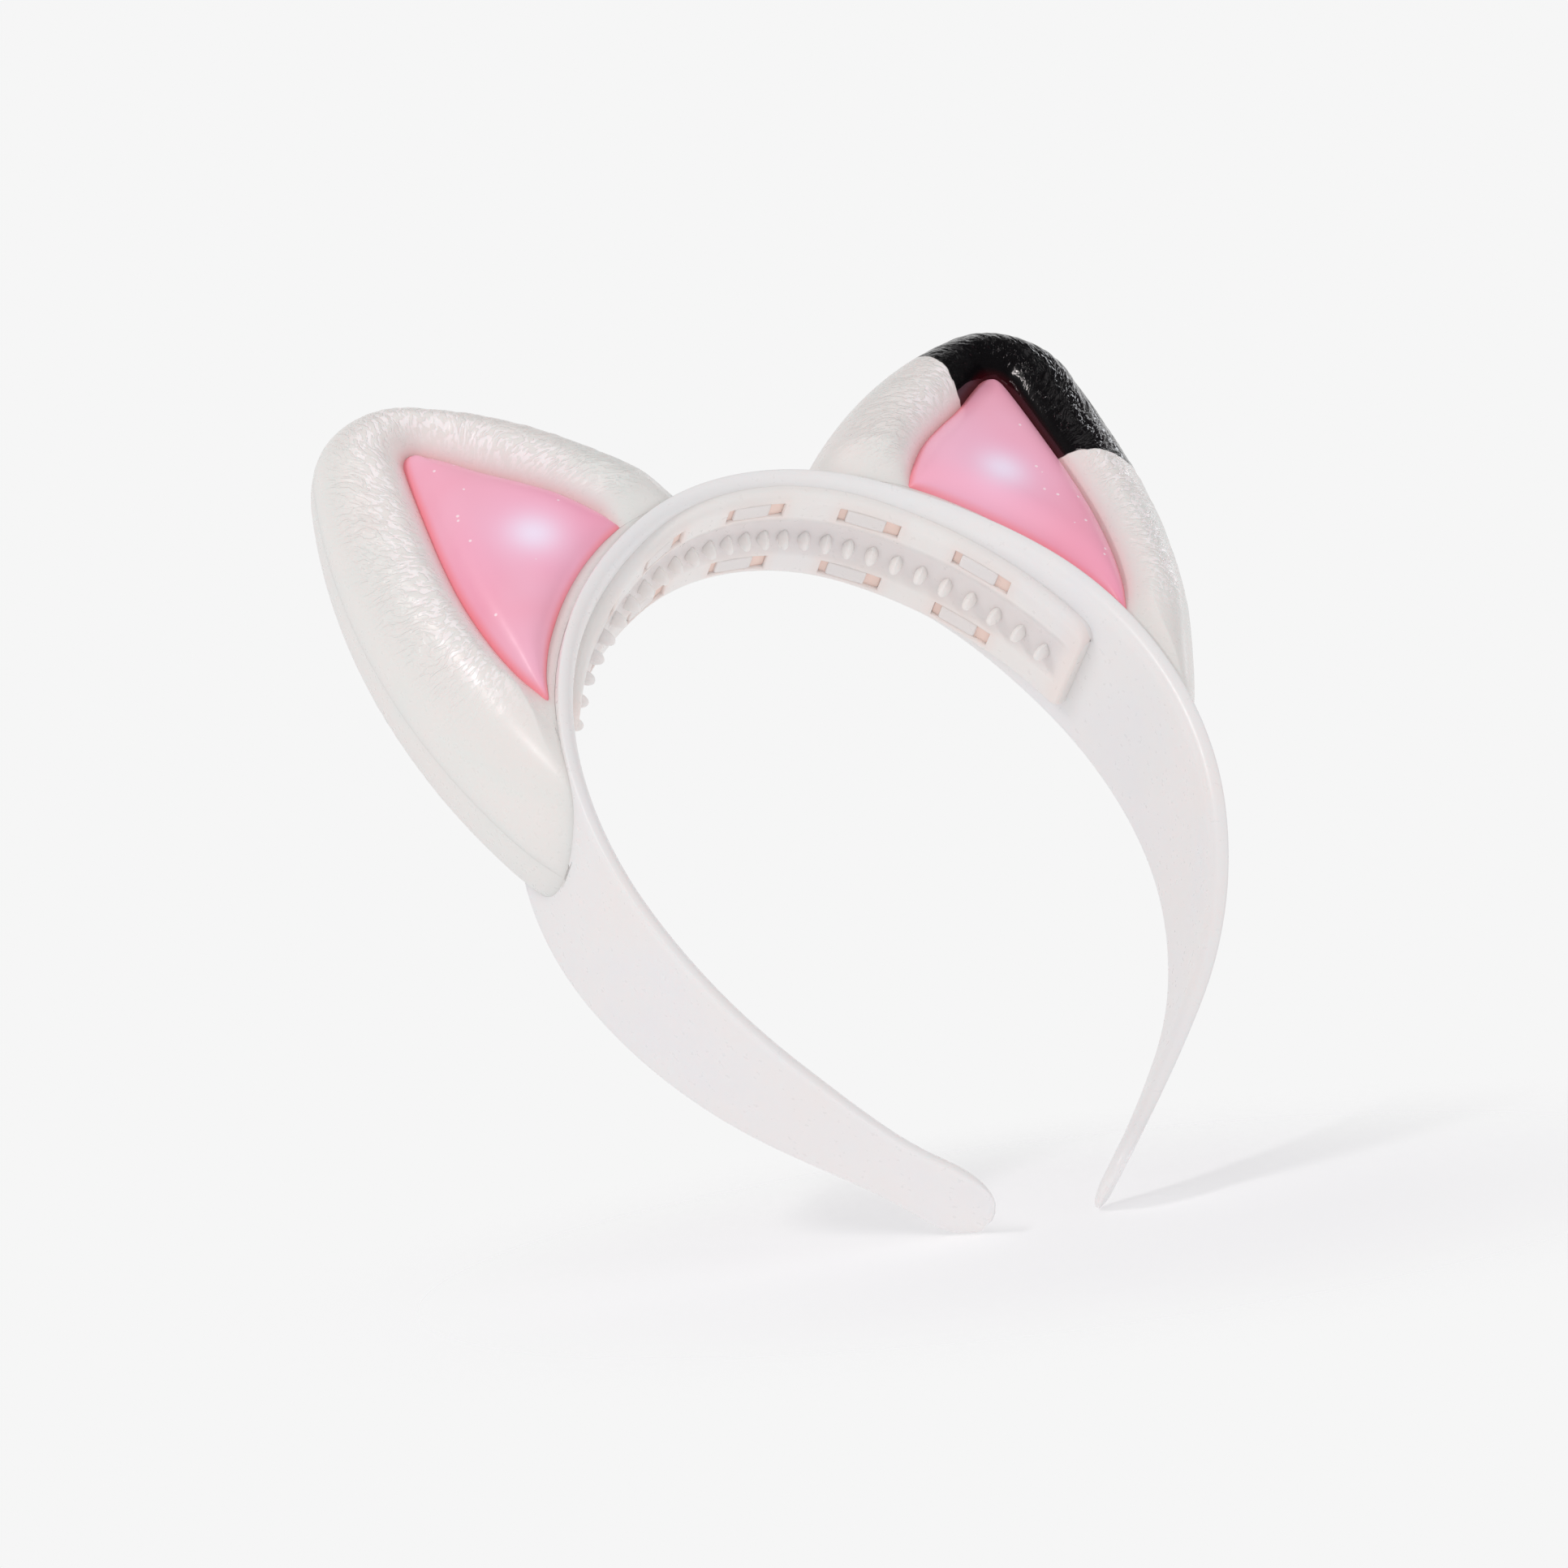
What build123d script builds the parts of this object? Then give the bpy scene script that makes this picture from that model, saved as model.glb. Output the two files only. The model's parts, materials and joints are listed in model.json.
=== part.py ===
from build123d import *
import os
from math import cos, degrees, pi, radians, sin

os.makedirs("parts", exist_ok=True)

# Light-up cat ear headband, in the pose in which it is worn.
# Millimetres. X to the wearer's left, -Y the side the ears face, +Z up.
# The origin is the middle of the comb cover's inner face, at the top of the head.

# ---------------------------------------------------------------- driving sizes
BAND_THICK = 3.2           # moulded band
COVER_RISE = 2.6           # comb cover, proud of the band's inner face
CHANNEL_DEPTH = 1.6        # wire channel cut in the band's inner face
CHANNEL_HALF = 9.0         # half width of the channel
CHANNEL_END = 68.0         # arc length from the crown to the channel's end
FIT_GAP = 0.05             # between pieces that are fixed together
RUN_GAP = 0.3              # round pieces that move

# The band's middle line from the crown down one arm: radius and turn of each arc.
BAND_ARCS = [(43.0, 32.0), (77.6, 28.0), (72.6, 46.0), (97.0, 23.6), (325.0, 7.0)]
# Half widths of the band, with how far each lies below the crown.
BAND_WIDTHS = [(12.5, 0.0), (14.7, 17.5), (18.1, 52.0), (16.3, 90.0), (11.2, 125.0), (7.4, 145.0)]
BAND_DROP = 154.0          # crown to tips

COVER_HALF = 11.0          # half width of the comb cover
COVER_END = 73.0           # arc length from the crown to the cover's end
COVER_WALL = 1.4
COVER_ROUND = 1.1
TOOTH_COUNT = 27
TOOTH_PITCH = 4.0          # at the crown
TOOTH_SPREAD = 0.081       # each gap grows by twice this from the crown to the ends
TOOTH_HEIGHT = 3.0
TOOTH_RADIUS = 1.35
TOOTH_TIP_RADIUS = 0.75
SNAP_STEPS = [-48.0, -24.0, 0.0, 24.0, 48.0]
SNAP_Y = 7.5
SNAP_WINDOW = (12.5, 3.4)
SNAP_LEDGE = (11.5, 2.5)
SNAP_BAR = (9.0, 2.1)
SNAP_BARB = 0.4
SNAP_SINK = 0.3            # the bars end this far behind the cover's face
SNAP_STEP = 0.95           # depth of the window down to its ledge
SNAP_OFFSET = -1.0         # the bar stands to one side of its window

# Ear outline, from its inner foot: start, heading, and radius and turn of each arc.
EAR_START = (11.0, 1.0)
EAR_HEADING = 53.0
EAR_ARCS = [(92.0, 34.0), (17.0, 96.0), (122.0, 40.0), (15.0, 85.0)]
EAR_FRONT = 16.0           # depth of the front shell
EAR_BACK = 14.0            # depth of the back shell
EAR_WALL = 1.8
FRONT_ROUND = 11.0
BACK_ROUND = 8.0
LENS_CORNERS = [(31.0, -6.5), (58.5, 18.0), (59.5, -41.0)]
LENS_BULGES = [(42.0, 9.0), (64.5, -11.0), (48.0, -24.5)]
LENS_FLANGE = 1.4
LENS_THICK = 1.2
LENS_SINK = 0.4            # the lens face lies this far behind the front shell's
LENS_EDGE_ROUND = 0.8
LENS_CORNER_ROUND = 2.0

LED_CENTRE = (47.0, -8.0)
LED_RADIUS = 2.5
LED_RIM = 0.4
LED_LENGTH = 8.5
LED_LEGS_U = (45.6, 48.4)  # where the LED's two wires meet the board
LED_LEGS_V = -11.0
LED_FACE_Y = -4.0          # front face of the LED board
LED_BOARD = (15.0, 8.0, 1.0)
LED_POST_REACH = 5.0       # from the LED to each post
BAY_CENTRE = (63.5, -11.0)  # battery bay on one side, control board on the other

CELL_RADIUS = 5.8
CELL_HEIGHT = 5.4
CELL_COUNT = 3
BAY_SIZE = (15.0, 23.0)
BAY_WALL = 1.2
BAY_FRONT_Y = -1.0
BAY_OPENING = (13.2, 21.0)
CONTACT_THICK = 0.4
CONTACT_WIDTH = 8.0
CONTACT_TAB = 2.0
SPRING_WIDTH = 3.0
DOOR_SIZE = (17.0, 30.0)
DOOR_SHIFT = 2.6           # the door reaches further down than the bay, for its screw
DOOR_THICK = 1.0
DOOR_CORNER = 3.0
DOOR_GRIP = (8.0, 0.7)     # each of the grooves that give a fingernail grip
DOOR_GRIP_PITCH = 1.8
DOOR_GRIP_RISE = 9.0
DOOR_SCREW = (63.5, -26.2)

BOARD_SIZE = (17.0, 25.0, 1.2)
BOARD_BACK_Y = 5.6         # the face that carries the switch
BOARD_POSTS = [(57.6, -1.2), (69.4, -20.8)]
CHIP_SIZE = (6.0, 5.0, 1.6)
CHIP_CENTRE = (64.5, -6.0)
RESISTOR_SIZE = (1.6, 3.2, 0.7)
RESISTOR_PLACES = [(61.0, -13.5), (65.5, -13.5)]
SWITCH_SIDE = 6.0
SWITCH_HEIGHT = 3.6
SWITCH_BORE = 2.0
PLUNGER_RADIUS = 1.7
PLUNGER_Y = (8.0, 10.9)    # back end and front end of the switch's plunger
BUTTON_RADIUS = 3.6
BUTTON_FLANGE = 4.8
BUTTON_FLANGE_THICK = 0.9
BUTTON_PROUD = 1.6         # stands out of the ear's back; it travels 0.6
BUTTON_EDGE_ROUND = 0.8

WIRE_RADIUS = 0.4
WIRE_LIFT = -1.4           # wires lie in the channel, below the band's middle surface
WIRE_HOLE_S = 40.0
WIRE_HOLE_RADIUS = 3.0
WIRE_Y = [-4.6, -3.3, -2.0, -0.7]
WIRE_STEPS = [36.0, 24.0, 12.0]   # where a wire's route turns along the crown
WIRE_BEND_LIMIT = 30.0
PAD_START = (58.6, -22.0)  # the crossing wires' pads on the control board
PAD_STEP = (2.2, 0.9)

SCREW_RADIUS = 1.1
SCREW_HEAD_RADIUS = 2.0
SCREW_HEAD_THICK = 1.4
SCREW_HEAD_ROUND = 0.5
HEAD_LIFT = 0.08           # the band screws' flat heads stand off the curved channel floor
PILOT_RADIUS = 1.15
CLEAR_RADIUS = 1.3
RECESS_DEPTH = 2.0         # from the ear's back down to the shell screws' heads
SHELL_PILOT_DEPTH = 9.0
BOSS_RADIUS = 2.5
POST_RADIUS = 2.1
POST_BORE = 6.0
SCREW_LENGTH = 6.0
BAND_SCREW_S = [34.0, 58.0]
BAND_SCREW_Y = 3.2
BAND_BOSS_LENGTH = 6.0
SHELL_SCREWS = [(66.5, 19.0), (64.2, -46.0)]
SCREW_SLOT = (2.2, 0.5)     # each arm of the cross in a screw head

SIDES = {"left": 1, "right": -1}   # the wearer's left is at +X

CROWN_Z = BAND_THICK / 2 + COVER_RISE   # height of the band's middle surface at the crown
HALF = BAND_THICK / 2
COVER_FACE = -HALF - COVER_RISE


# ---------------------------------------------------------------- places along the band
def band_stops():
    """Arc lengths at which the radius changes, on both arms."""
    stops = [0.0]
    for radius, turn in BAND_ARCS:
        stops.append(stops[-1] + radius * radians(turn))
    return stops


BAND_STOPS = band_stops()
BAND_END = BAND_STOPS[-1]


def band_at(s, lift=0.0):
    """Point (x, z) and heading in degrees at arc length s, lift above the middle surface."""
    left = abs(s)
    side = -1 if s < 0 else 1
    x, z, heading = 0.0, CROWN_Z, 0.0
    for radius, turn in BAND_ARCS:
        step = min(left, radius * radians(turn))
        after = heading + step / radius
        x += radius * (sin(after) - sin(heading))
        z += radius * (cos(after) - cos(heading))
        heading = after
        left -= step
    x += lift * sin(heading)
    z += lift * cos(heading)
    return side * x, z, side * degrees(heading)


def band_plane(s, y, lift, inward=True):
    """Plane on the band at arc length s: its x runs along the band, its normal in or out."""
    x, z, heading = band_at(s, lift)
    along = (cos(radians(heading)), 0, -sin(radians(heading)))
    out = (sin(radians(heading)), 0, cos(radians(heading)))
    normal = tuple(-c for c in out) if inward else out
    return Plane(origin=(x, y, z), x_dir=along, z_dir=normal)


def band_curve(lift, start, end):
    """Tangent arcs along the band between two arc lengths, in the open BuildLine."""
    stops = sorted({-s for s in BAND_STOPS} | set(BAND_STOPS))
    marks = [start] + [s for s in stops if start < s < end] + [end]
    for a, b in zip(marks, marks[1:]):
        points = [band_at(s, lift)[:2] for s in (a, (a + b) / 2, b)]
        ThreePointArc(*points)


def band_strip(low, high, end, half_width):
    """A strip that follows the band between two lifts, to the same arc length each side."""
    with BuildPart() as strip:
        with BuildSketch(Plane.XZ):
            with BuildLine():
                band_curve(high, -end, end)
                band_curve(low, -end, end)
                for s in (-end, end):
                    Line(band_at(s, low)[:2], band_at(s, high)[:2])
            make_face()
        extrude(amount=half_width, both=True)
    return strip.part


def below_band(lift):
    """Everything inside the band's curve at a lift, as one block to cut ears with."""
    with BuildPart() as block:
        with BuildSketch(Plane.XZ):
            with BuildLine():
                band_curve(lift, -BAND_END, BAND_END)
                Line(band_at(-BAND_END, lift)[:2], band_at(BAND_END, lift)[:2])
            make_face()
        extrude(amount=40, both=True)
    return block.part


# ---------------------------------------------------------------- headband and cover
with BuildPart() as headband:
    add(band_strip(-HALF, HALF, BAND_END, 25))
    with BuildSketch(Plane.YZ):
        edge_points = [(w, CROWN_Z - drop) for w, drop in BAND_WIDTHS]
        tip_z = CROWN_Z - BAND_DROP
        top_z = CROWN_Z + 2 * BAND_THICK
        with BuildLine():
            Spline(*edge_points)
            Spline(*[(-y, z) for y, z in edge_points])
            ThreePointArc(edge_points[-1], (0, tip_z), (-edge_points[-1][0], edge_points[-1][1]))
            Line(edge_points[0], (edge_points[0][0], top_z))
            Line((-edge_points[0][0], edge_points[0][1]), (-edge_points[0][0], top_z))
            Line((edge_points[0][0], top_z), (-edge_points[0][0], top_z))
        make_face()
    extrude(amount=90, both=True, mode=Mode.INTERSECT)
    add(band_strip(-HALF - 1, -HALF + CHANNEL_DEPTH, CHANNEL_END, CHANNEL_HALF), mode=Mode.SUBTRACT)
    hook_floor = -HALF + CHANNEL_DEPTH
    hook_height = hook_floor - COVER_FACE - SNAP_SINK
    for s in SNAP_STEPS:
        for row in (-1, 1):
            with BuildSketch(band_plane(s + SNAP_OFFSET, row * SNAP_Y, hook_floor + 0.1)):
                Rectangle(*SNAP_BAR)
            extrude(amount=hook_height + 0.1)
            barb_y = row * (SNAP_Y + SNAP_BARB / 2)
            with BuildSketch(band_plane(s + SNAP_OFFSET, barb_y, COVER_FACE + SNAP_SINK)):
                Rectangle(SNAP_BAR[0], SNAP_BAR[1] + SNAP_BARB)
            extrude(amount=-SNAP_BARB)
    with BuildSketch(*[band_plane(side * WIRE_HOLE_S, sum(WIRE_Y) / 4, HALF + 1) for side in (-1, 1)]):
        Circle(WIRE_HOLE_RADIUS)
    extrude(amount=BAND_THICK + 1, mode=Mode.SUBTRACT)
    screw_places = [(side * s, BAND_SCREW_Y) for side in (-1, 1) for s in BAND_SCREW_S]
    with BuildSketch(*[band_plane(s, y, HALF + 1) for s, y in screw_places]):
        Circle(CLEAR_RADIUS)
    extrude(amount=BAND_THICK + 1, mode=Mode.SUBTRACT)

with BuildPart() as inner_cover:
    add(band_strip(COVER_FACE, -HALF - FIT_GAP, COVER_END, COVER_HALF))
    face_radii = [radius + COVER_FACE for radius, turn in BAND_ARCS]
    fillet([edge for edge in inner_cover.edges().filter_by(GeomType.CIRCLE)
            if min(abs(edge.radius - r) for r in face_radii) < 0.01], radius=COVER_ROUND)
    add(band_strip(COVER_FACE + COVER_WALL, -HALF, COVER_END - COVER_WALL,
                   COVER_HALF - COVER_WALL), mode=Mode.SUBTRACT)
    windows = [(s, row * SNAP_Y) for s in SNAP_STEPS for row in (-1, 1)]
    with BuildSketch(*[band_plane(s, y, COVER_FACE + SNAP_STEP) for s, y in windows]):
        Rectangle(*SNAP_WINDOW)
    extrude(amount=2, mode=Mode.SUBTRACT)
    with BuildSketch(*[band_plane(s, y, COVER_FACE + 2) for s, y in windows]):
        Rectangle(*SNAP_LEDGE)
    extrude(amount=3, mode=Mode.SUBTRACT)
    tooth_numbers = [n - (TOOTH_COUNT - 1) // 2 for n in range(TOOTH_COUNT)]
    tooth_steps = [n * (TOOTH_PITCH + TOOTH_SPREAD * abs(n)) for n in tooth_numbers]
    with Locations(*[band_plane(s, 0, COVER_FACE + 0.3).location for s in tooth_steps]):
        Cone(TOOTH_RADIUS, TOOTH_TIP_RADIUS, TOOTH_HEIGHT - TOOTH_TIP_RADIUS + 0.3,
             align=(Align.CENTER, Align.CENTER, Align.MIN))
    with Locations(*[band_plane(s, 0, COVER_FACE - TOOTH_HEIGHT + TOOTH_TIP_RADIUS).location
                     for s in tooth_steps]):
        Sphere(TOOTH_TIP_RADIUS)

# ---------------------------------------------------------------- ears
def ear_plane(y):
    """Plane parallel to XZ through the ears at depth y; its y axis counts from the crown."""
    return Plane(origin=(0, y, CROWN_Z), x_dir=(1, 0, 0), z_dir=(0, -1, 0))


def ear_curve():
    """Closed ear outline on the +X side, in the open BuildLine."""
    heading = EAR_HEADING
    start = Vector(*EAR_START)
    for radius, turn in EAR_ARCS:
        direction = (cos(radians(heading)), sin(radians(heading)))
        arc = JernArc(start=start, tangent=direction, radius=radius, arc_size=-turn)
        start = arc @ 1
        heading -= turn
    Line(start, EAR_START)


def ear_block(near_y, far_y, inset, rounding):
    """Ear-shaped block between two depths, its far outline edge rounded."""
    toward = 1 if far_y > near_y else -1
    with BuildPart() as block:
        with BuildSketch(ear_plane(near_y)):
            with BuildLine():
                ear_curve()
            make_face()
            if inset:
                offset(amount=-inset, kind=Kind.INTERSECTION)
        extrude(amount=-toward * (abs(far_y - near_y) - inset))
        far_face = block.faces().sort_by(Axis.Y)[-1 if toward > 0 else 0]
        fillet(far_face.edges().filter_by(GeomType.CIRCLE), radius=rounding - inset)
    return block.part


def lens_block(near_y, far_y, grow, rounding=0):
    """Lens-shaped block between two depths, grown by an amount, its front edge rounded."""
    with BuildPart() as block:
        with BuildSketch(ear_plane(near_y)):
            with BuildLine():
                for n in range(3):
                    ThreePointArc(LENS_CORNERS[n], LENS_BULGES[n], LENS_CORNERS[(n + 1) % 3])
            make_face()
            fillet(vertices(), radius=LENS_CORNER_ROUND)
            if grow:
                offset(amount=grow, kind=Kind.ARC)
        extrude(amount=near_y - far_y)
        if rounding:
            fillet(block.faces().sort_by(Axis.Y)[0].edges(), radius=rounding)
    return block.part


base_cut = below_band(HALF + FIT_GAP)
with BuildPart() as front_shell:
    add(ear_block(0, -EAR_FRONT, 0, FRONT_ROUND))
    add(ear_block(1, -EAR_FRONT, EAR_WALL, FRONT_ROUND), mode=Mode.SUBTRACT)
    with BuildSketch(ear_plane(0)):
        with Locations(*SHELL_SCREWS):
            Circle(BOSS_RADIUS)
    extrude(amount=EAR_FRONT - EAR_WALL + 0.2)
    add(lens_block(-EAR_FRONT / 2, -EAR_FRONT - 1, FIT_GAP), mode=Mode.SUBTRACT)
    with BuildSketch(ear_plane(0)):
        with Locations(*SHELL_SCREWS):
            Circle(PILOT_RADIUS)
    extrude(amount=SHELL_PILOT_DEPTH, mode=Mode.SUBTRACT)
    add(base_cut, mode=Mode.SUBTRACT)


BACK_INNER_Y = EAR_BACK - EAR_WALL


def back_shell_with(posts):
    """Back shell with its screw bosses, its LED posts and other posts (place, front y)."""
    led_posts = [((LED_CENTRE[0] + reach, LED_CENTRE[1]), LED_FACE_Y + LED_BOARD[2] + FIT_GAP)
                 for reach in (-LED_POST_REACH, LED_POST_REACH)]
    with BuildPart() as shell:
        add(ear_block(FIT_GAP, EAR_BACK, 0, BACK_ROUND))
        add(ear_block(-1, EAR_BACK, EAR_WALL, BACK_ROUND), mode=Mode.SUBTRACT)
        with BuildSketch(ear_plane(FIT_GAP)):
            with Locations(*SHELL_SCREWS):
                Circle(BOSS_RADIUS)
        extrude(amount=-BACK_INNER_Y)
        for s in BAND_SCREW_S:
            with BuildSketch(band_plane(s, BAND_SCREW_Y, HALF, inward=False)):
                Circle(BOSS_RADIUS)
            extrude(amount=BAND_BOSS_LENGTH)
            rib_y = (BAND_SCREW_Y + BACK_INNER_Y) / 2
            with BuildSketch(band_plane(s, rib_y, HALF, inward=False)):
                Rectangle(EAR_WALL, BACK_INNER_Y - BAND_SCREW_Y + 0.4)
            extrude(amount=BAND_BOSS_LENGTH)
        add(base_cut, mode=Mode.SUBTRACT)
        for place, front_y in led_posts + posts:
            with BuildSketch(ear_plane(front_y)):
                with Locations(place):
                    Circle(POST_RADIUS)
            extrude(amount=-(BACK_INNER_Y - front_y + 0.2))
            with BuildSketch(ear_plane(front_y)):
                with Locations(place):
                    Circle(PILOT_RADIUS)
            extrude(amount=-POST_BORE, mode=Mode.SUBTRACT)
        for s in BAND_SCREW_S:
            with BuildSketch(band_plane(s, BAND_SCREW_Y, HALF, inward=False)):
                Circle(PILOT_RADIUS)
            extrude(amount=BAND_BOSS_LENGTH + 0.2, mode=Mode.SUBTRACT)
        with BuildSketch(ear_plane(-1)):
            with Locations(*SHELL_SCREWS):
                Circle(CLEAR_RADIUS)
        extrude(amount=-(EAR_BACK + 2), mode=Mode.SUBTRACT)
        with BuildSketch(ear_plane(EAR_BACK - RECESS_DEPTH)):
            with Locations(*SHELL_SCREWS):
                Circle(SCREW_HEAD_RADIUS + 0.2)
        extrude(amount=-4, mode=Mode.SUBTRACT)
    return shell.part


def screw(plane, length):
    """Self-tapping screw: its head stands on the plane, its shank goes the other way."""
    with BuildPart() as one:
        with BuildSketch(plane):
            Circle(SCREW_HEAD_RADIUS)
        extrude(amount=SCREW_HEAD_THICK)
        top = one.faces().sort_by(Axis(plane.origin, plane.z_dir))[-1]
        fillet(top.edges(), radius=SCREW_HEAD_ROUND)
        with BuildSketch(plane.offset(SCREW_HEAD_THICK)):
            Rectangle(*SCREW_SLOT)
            Rectangle(*SCREW_SLOT[::-1])
        extrude(amount=-0.8, mode=Mode.SUBTRACT)
        with BuildSketch(plane):
            Circle(SCREW_RADIUS)
        extrude(amount=-length)
    return one.part


def mirrored(part):
    """The mirror image of a +X piece."""
    with BuildPart() as twin:
        add(part)
        mirror(about=Plane.YZ, mode=Mode.REPLACE)
    return twin.part


def plate_block(centre, size, near_y, far_y, corner=0):
    """Rectangular block between two depths, centred on an ear place."""
    with BuildPart() as block:
        with BuildSketch(ear_plane(near_y)):
            with Locations(centre):
                if corner:
                    RectangleRounded(*size, corner)
                else:
                    Rectangle(*size)
        extrude(amount=near_y - far_y)
    return block.part


door_centre = (BAY_CENTRE[0], BAY_CENTRE[1] - DOOR_SHIFT)
with BuildPart() as battery_ear_back:
    add(back_shell_with([(DOOR_SCREW, BACK_INNER_Y - POST_BORE)]))
    add(plate_block(BAY_CENTRE, BAY_OPENING, 0, EAR_BACK + 1), mode=Mode.SUBTRACT)
    add(plate_block(door_centre, (DOOR_SIZE[0] + 0.6, DOOR_SIZE[1] + 0.6),
                    EAR_BACK - DOOR_THICK - 0.05, EAR_BACK + 1, DOOR_CORNER + 0.3), mode=Mode.SUBTRACT)
    with BuildSketch(ear_plane(BACK_INNER_Y - POST_BORE)):
        with Locations(DOOR_SCREW):
            Circle(PILOT_RADIUS)
    extrude(amount=-(POST_BORE + EAR_WALL + 1), mode=Mode.SUBTRACT)

with BuildPart() as battery_door:
    add(plate_block(door_centre, DOOR_SIZE, EAR_BACK - DOOR_THICK, EAR_BACK, DOOR_CORNER))
    with BuildSketch(ear_plane(0)):
        with Locations(DOOR_SCREW):
            Circle(CLEAR_RADIUS)
    extrude(amount=-(EAR_BACK + 1), mode=Mode.SUBTRACT)
    with BuildSketch(ear_plane(EAR_BACK)):
        with Locations((door_centre[0], door_centre[1] + DOOR_GRIP_RISE)):
            with GridLocations(0, DOOR_GRIP_PITCH, 1, 4):
                Rectangle(*DOOR_GRIP)
    extrude(amount=0.3, mode=Mode.SUBTRACT)

with BuildPart() as switch_ear_back:
    add(back_shell_with([(place, BOARD_BACK_Y + FIT_GAP) for place in BOARD_POSTS]))
    with BuildSketch(ear_plane(0)):
        with Locations(BAY_CENTRE):
            Circle(BUTTON_RADIUS + RUN_GAP)
    extrude(amount=-(EAR_BACK + 1), mode=Mode.SUBTRACT)

flange_y = -(EAR_FRONT - EAR_WALL) + FIT_GAP
with BuildPart() as lens:
    add(lens_block(flange_y + LENS_THICK, flange_y, LENS_FLANGE))
    add(lens_block(flange_y + 0.2, -EAR_FRONT + LENS_SINK, -0.1, rounding=LENS_EDGE_ROUND))

with BuildPart() as led:
    with BuildSketch(ear_plane(LED_FACE_Y - FIT_GAP)):
        with Locations(LED_CENTRE):
            Circle(LED_RADIUS + LED_RIM)
    extrude(amount=1)
    with BuildSketch(ear_plane(LED_FACE_Y - FIT_GAP)):
        with Locations(LED_CENTRE):
            Circle(LED_RADIUS)
    extrude(amount=LED_LENGTH)
    fillet(led.edges().sort_by(Axis.Y)[0], radius=LED_RADIUS - 0.1)

with BuildPart() as led_board:
    with BuildSketch(ear_plane(LED_FACE_Y)):
        with Locations(LED_CENTRE):
            Rectangle(*LED_BOARD[:2])
            with GridLocations(2 * LED_POST_REACH, 1, 2, 1):
                Circle(CLEAR_RADIUS, mode=Mode.SUBTRACT)
    extrude(amount=-LED_BOARD[2])

with BuildPart() as control_board:
    with BuildSketch(ear_plane(BOARD_BACK_Y - BOARD_SIZE[2])):
        with Locations(BAY_CENTRE):
            Rectangle(*BOARD_SIZE[:2])
        with Locations(*BOARD_POSTS):
            Circle(CLEAR_RADIUS, mode=Mode.SUBTRACT)
    extrude(amount=-BOARD_SIZE[2])

board_front_y = BOARD_BACK_Y - BOARD_SIZE[2] - FIT_GAP
control_chip = plate_block(CHIP_CENTRE, CHIP_SIZE[:2], board_front_y, board_front_y - CHIP_SIZE[2])
with BuildPart() as resistors:
    for place in RESISTOR_PLACES:
        add(plate_block(place, RESISTOR_SIZE[:2], board_front_y, board_front_y - RESISTOR_SIZE[2]))

with BuildPart() as switch_body:
    switch_top = BOARD_BACK_Y + FIT_GAP + SWITCH_HEIGHT
    add(plate_block(BAY_CENTRE, (SWITCH_SIDE, SWITCH_SIDE), BOARD_BACK_Y + FIT_GAP, switch_top))
    with BuildSketch(ear_plane(switch_top)):
        with Locations(BAY_CENTRE):
            Circle(PLUNGER_RADIUS + RUN_GAP)
    extrude(amount=SWITCH_BORE, mode=Mode.SUBTRACT)

with BuildPart() as switch_plunger:
    with BuildSketch(ear_plane(PLUNGER_Y[0])):
        with Locations(BAY_CENTRE):
            Circle(PLUNGER_RADIUS)
    extrude(amount=PLUNGER_Y[0] - PLUNGER_Y[1])

with BuildPart() as power_button:
    flange_start = PLUNGER_Y[1] + FIT_GAP
    with BuildSketch(ear_plane(flange_start)):
        with Locations(BAY_CENTRE):
            Circle(BUTTON_FLANGE)
    extrude(amount=-BUTTON_FLANGE_THICK)
    with BuildSketch(ear_plane(flange_start)):
        with Locations(BAY_CENTRE):
            Circle(BUTTON_RADIUS)
    extrude(amount=-(EAR_BACK + BUTTON_PROUD - flange_start))
    fillet(power_button.edges().sort_by(Axis.Y)[-1], radius=BUTTON_EDGE_ROUND)

# ---------------------------------------------------------------- battery bay
bay_top_v = BAY_CENTRE[1] + BAY_SIZE[1] / 2 - BAY_WALL
bay_low_v = BAY_CENTRE[1] - BAY_SIZE[1] / 2 + BAY_WALL
cell_y = BAY_FRONT_Y + BAY_WALL + 0.15 + CELL_RADIUS
with BuildPart() as battery_holder:
    add(plate_block(BAY_CENTRE, BAY_SIZE, BAY_FRONT_Y, BACK_INNER_Y - FIT_GAP))
    inside = (BAY_SIZE[0] - 2 * BAY_WALL, BAY_SIZE[1] - 2 * BAY_WALL)
    add(plate_block(BAY_CENTRE, inside, BAY_FRONT_Y + BAY_WALL, BACK_INNER_Y + 1), mode=Mode.SUBTRACT)
    for end_v in (bay_top_v - CONTACT_THICK / 2, bay_low_v + CONTACT_THICK / 2):
        slot = (CONTACT_TAB + 0.4, CONTACT_THICK + 0.2)
        add(plate_block((BAY_CENTRE[0], end_v), slot, BAY_FRONT_Y - 1, BAY_FRONT_Y + 2), mode=Mode.SUBTRACT)


def contact_plate(middle_v):
    """Flat battery contact with its solder tab through the bay's front wall."""
    with BuildPart() as plate:
        add(plate_block((BAY_CENTRE[0], middle_v), (CONTACT_WIDTH, CONTACT_THICK - 0.02),
                        BAY_FRONT_Y + BAY_WALL + 0.1, cell_y + 4))
        add(plate_block((BAY_CENTRE[0], middle_v), (CONTACT_TAB, CONTACT_THICK - 0.02),
                        BAY_FRONT_Y - 1, BAY_FRONT_Y + BAY_WALL + 0.2))
    return plate.part


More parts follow.
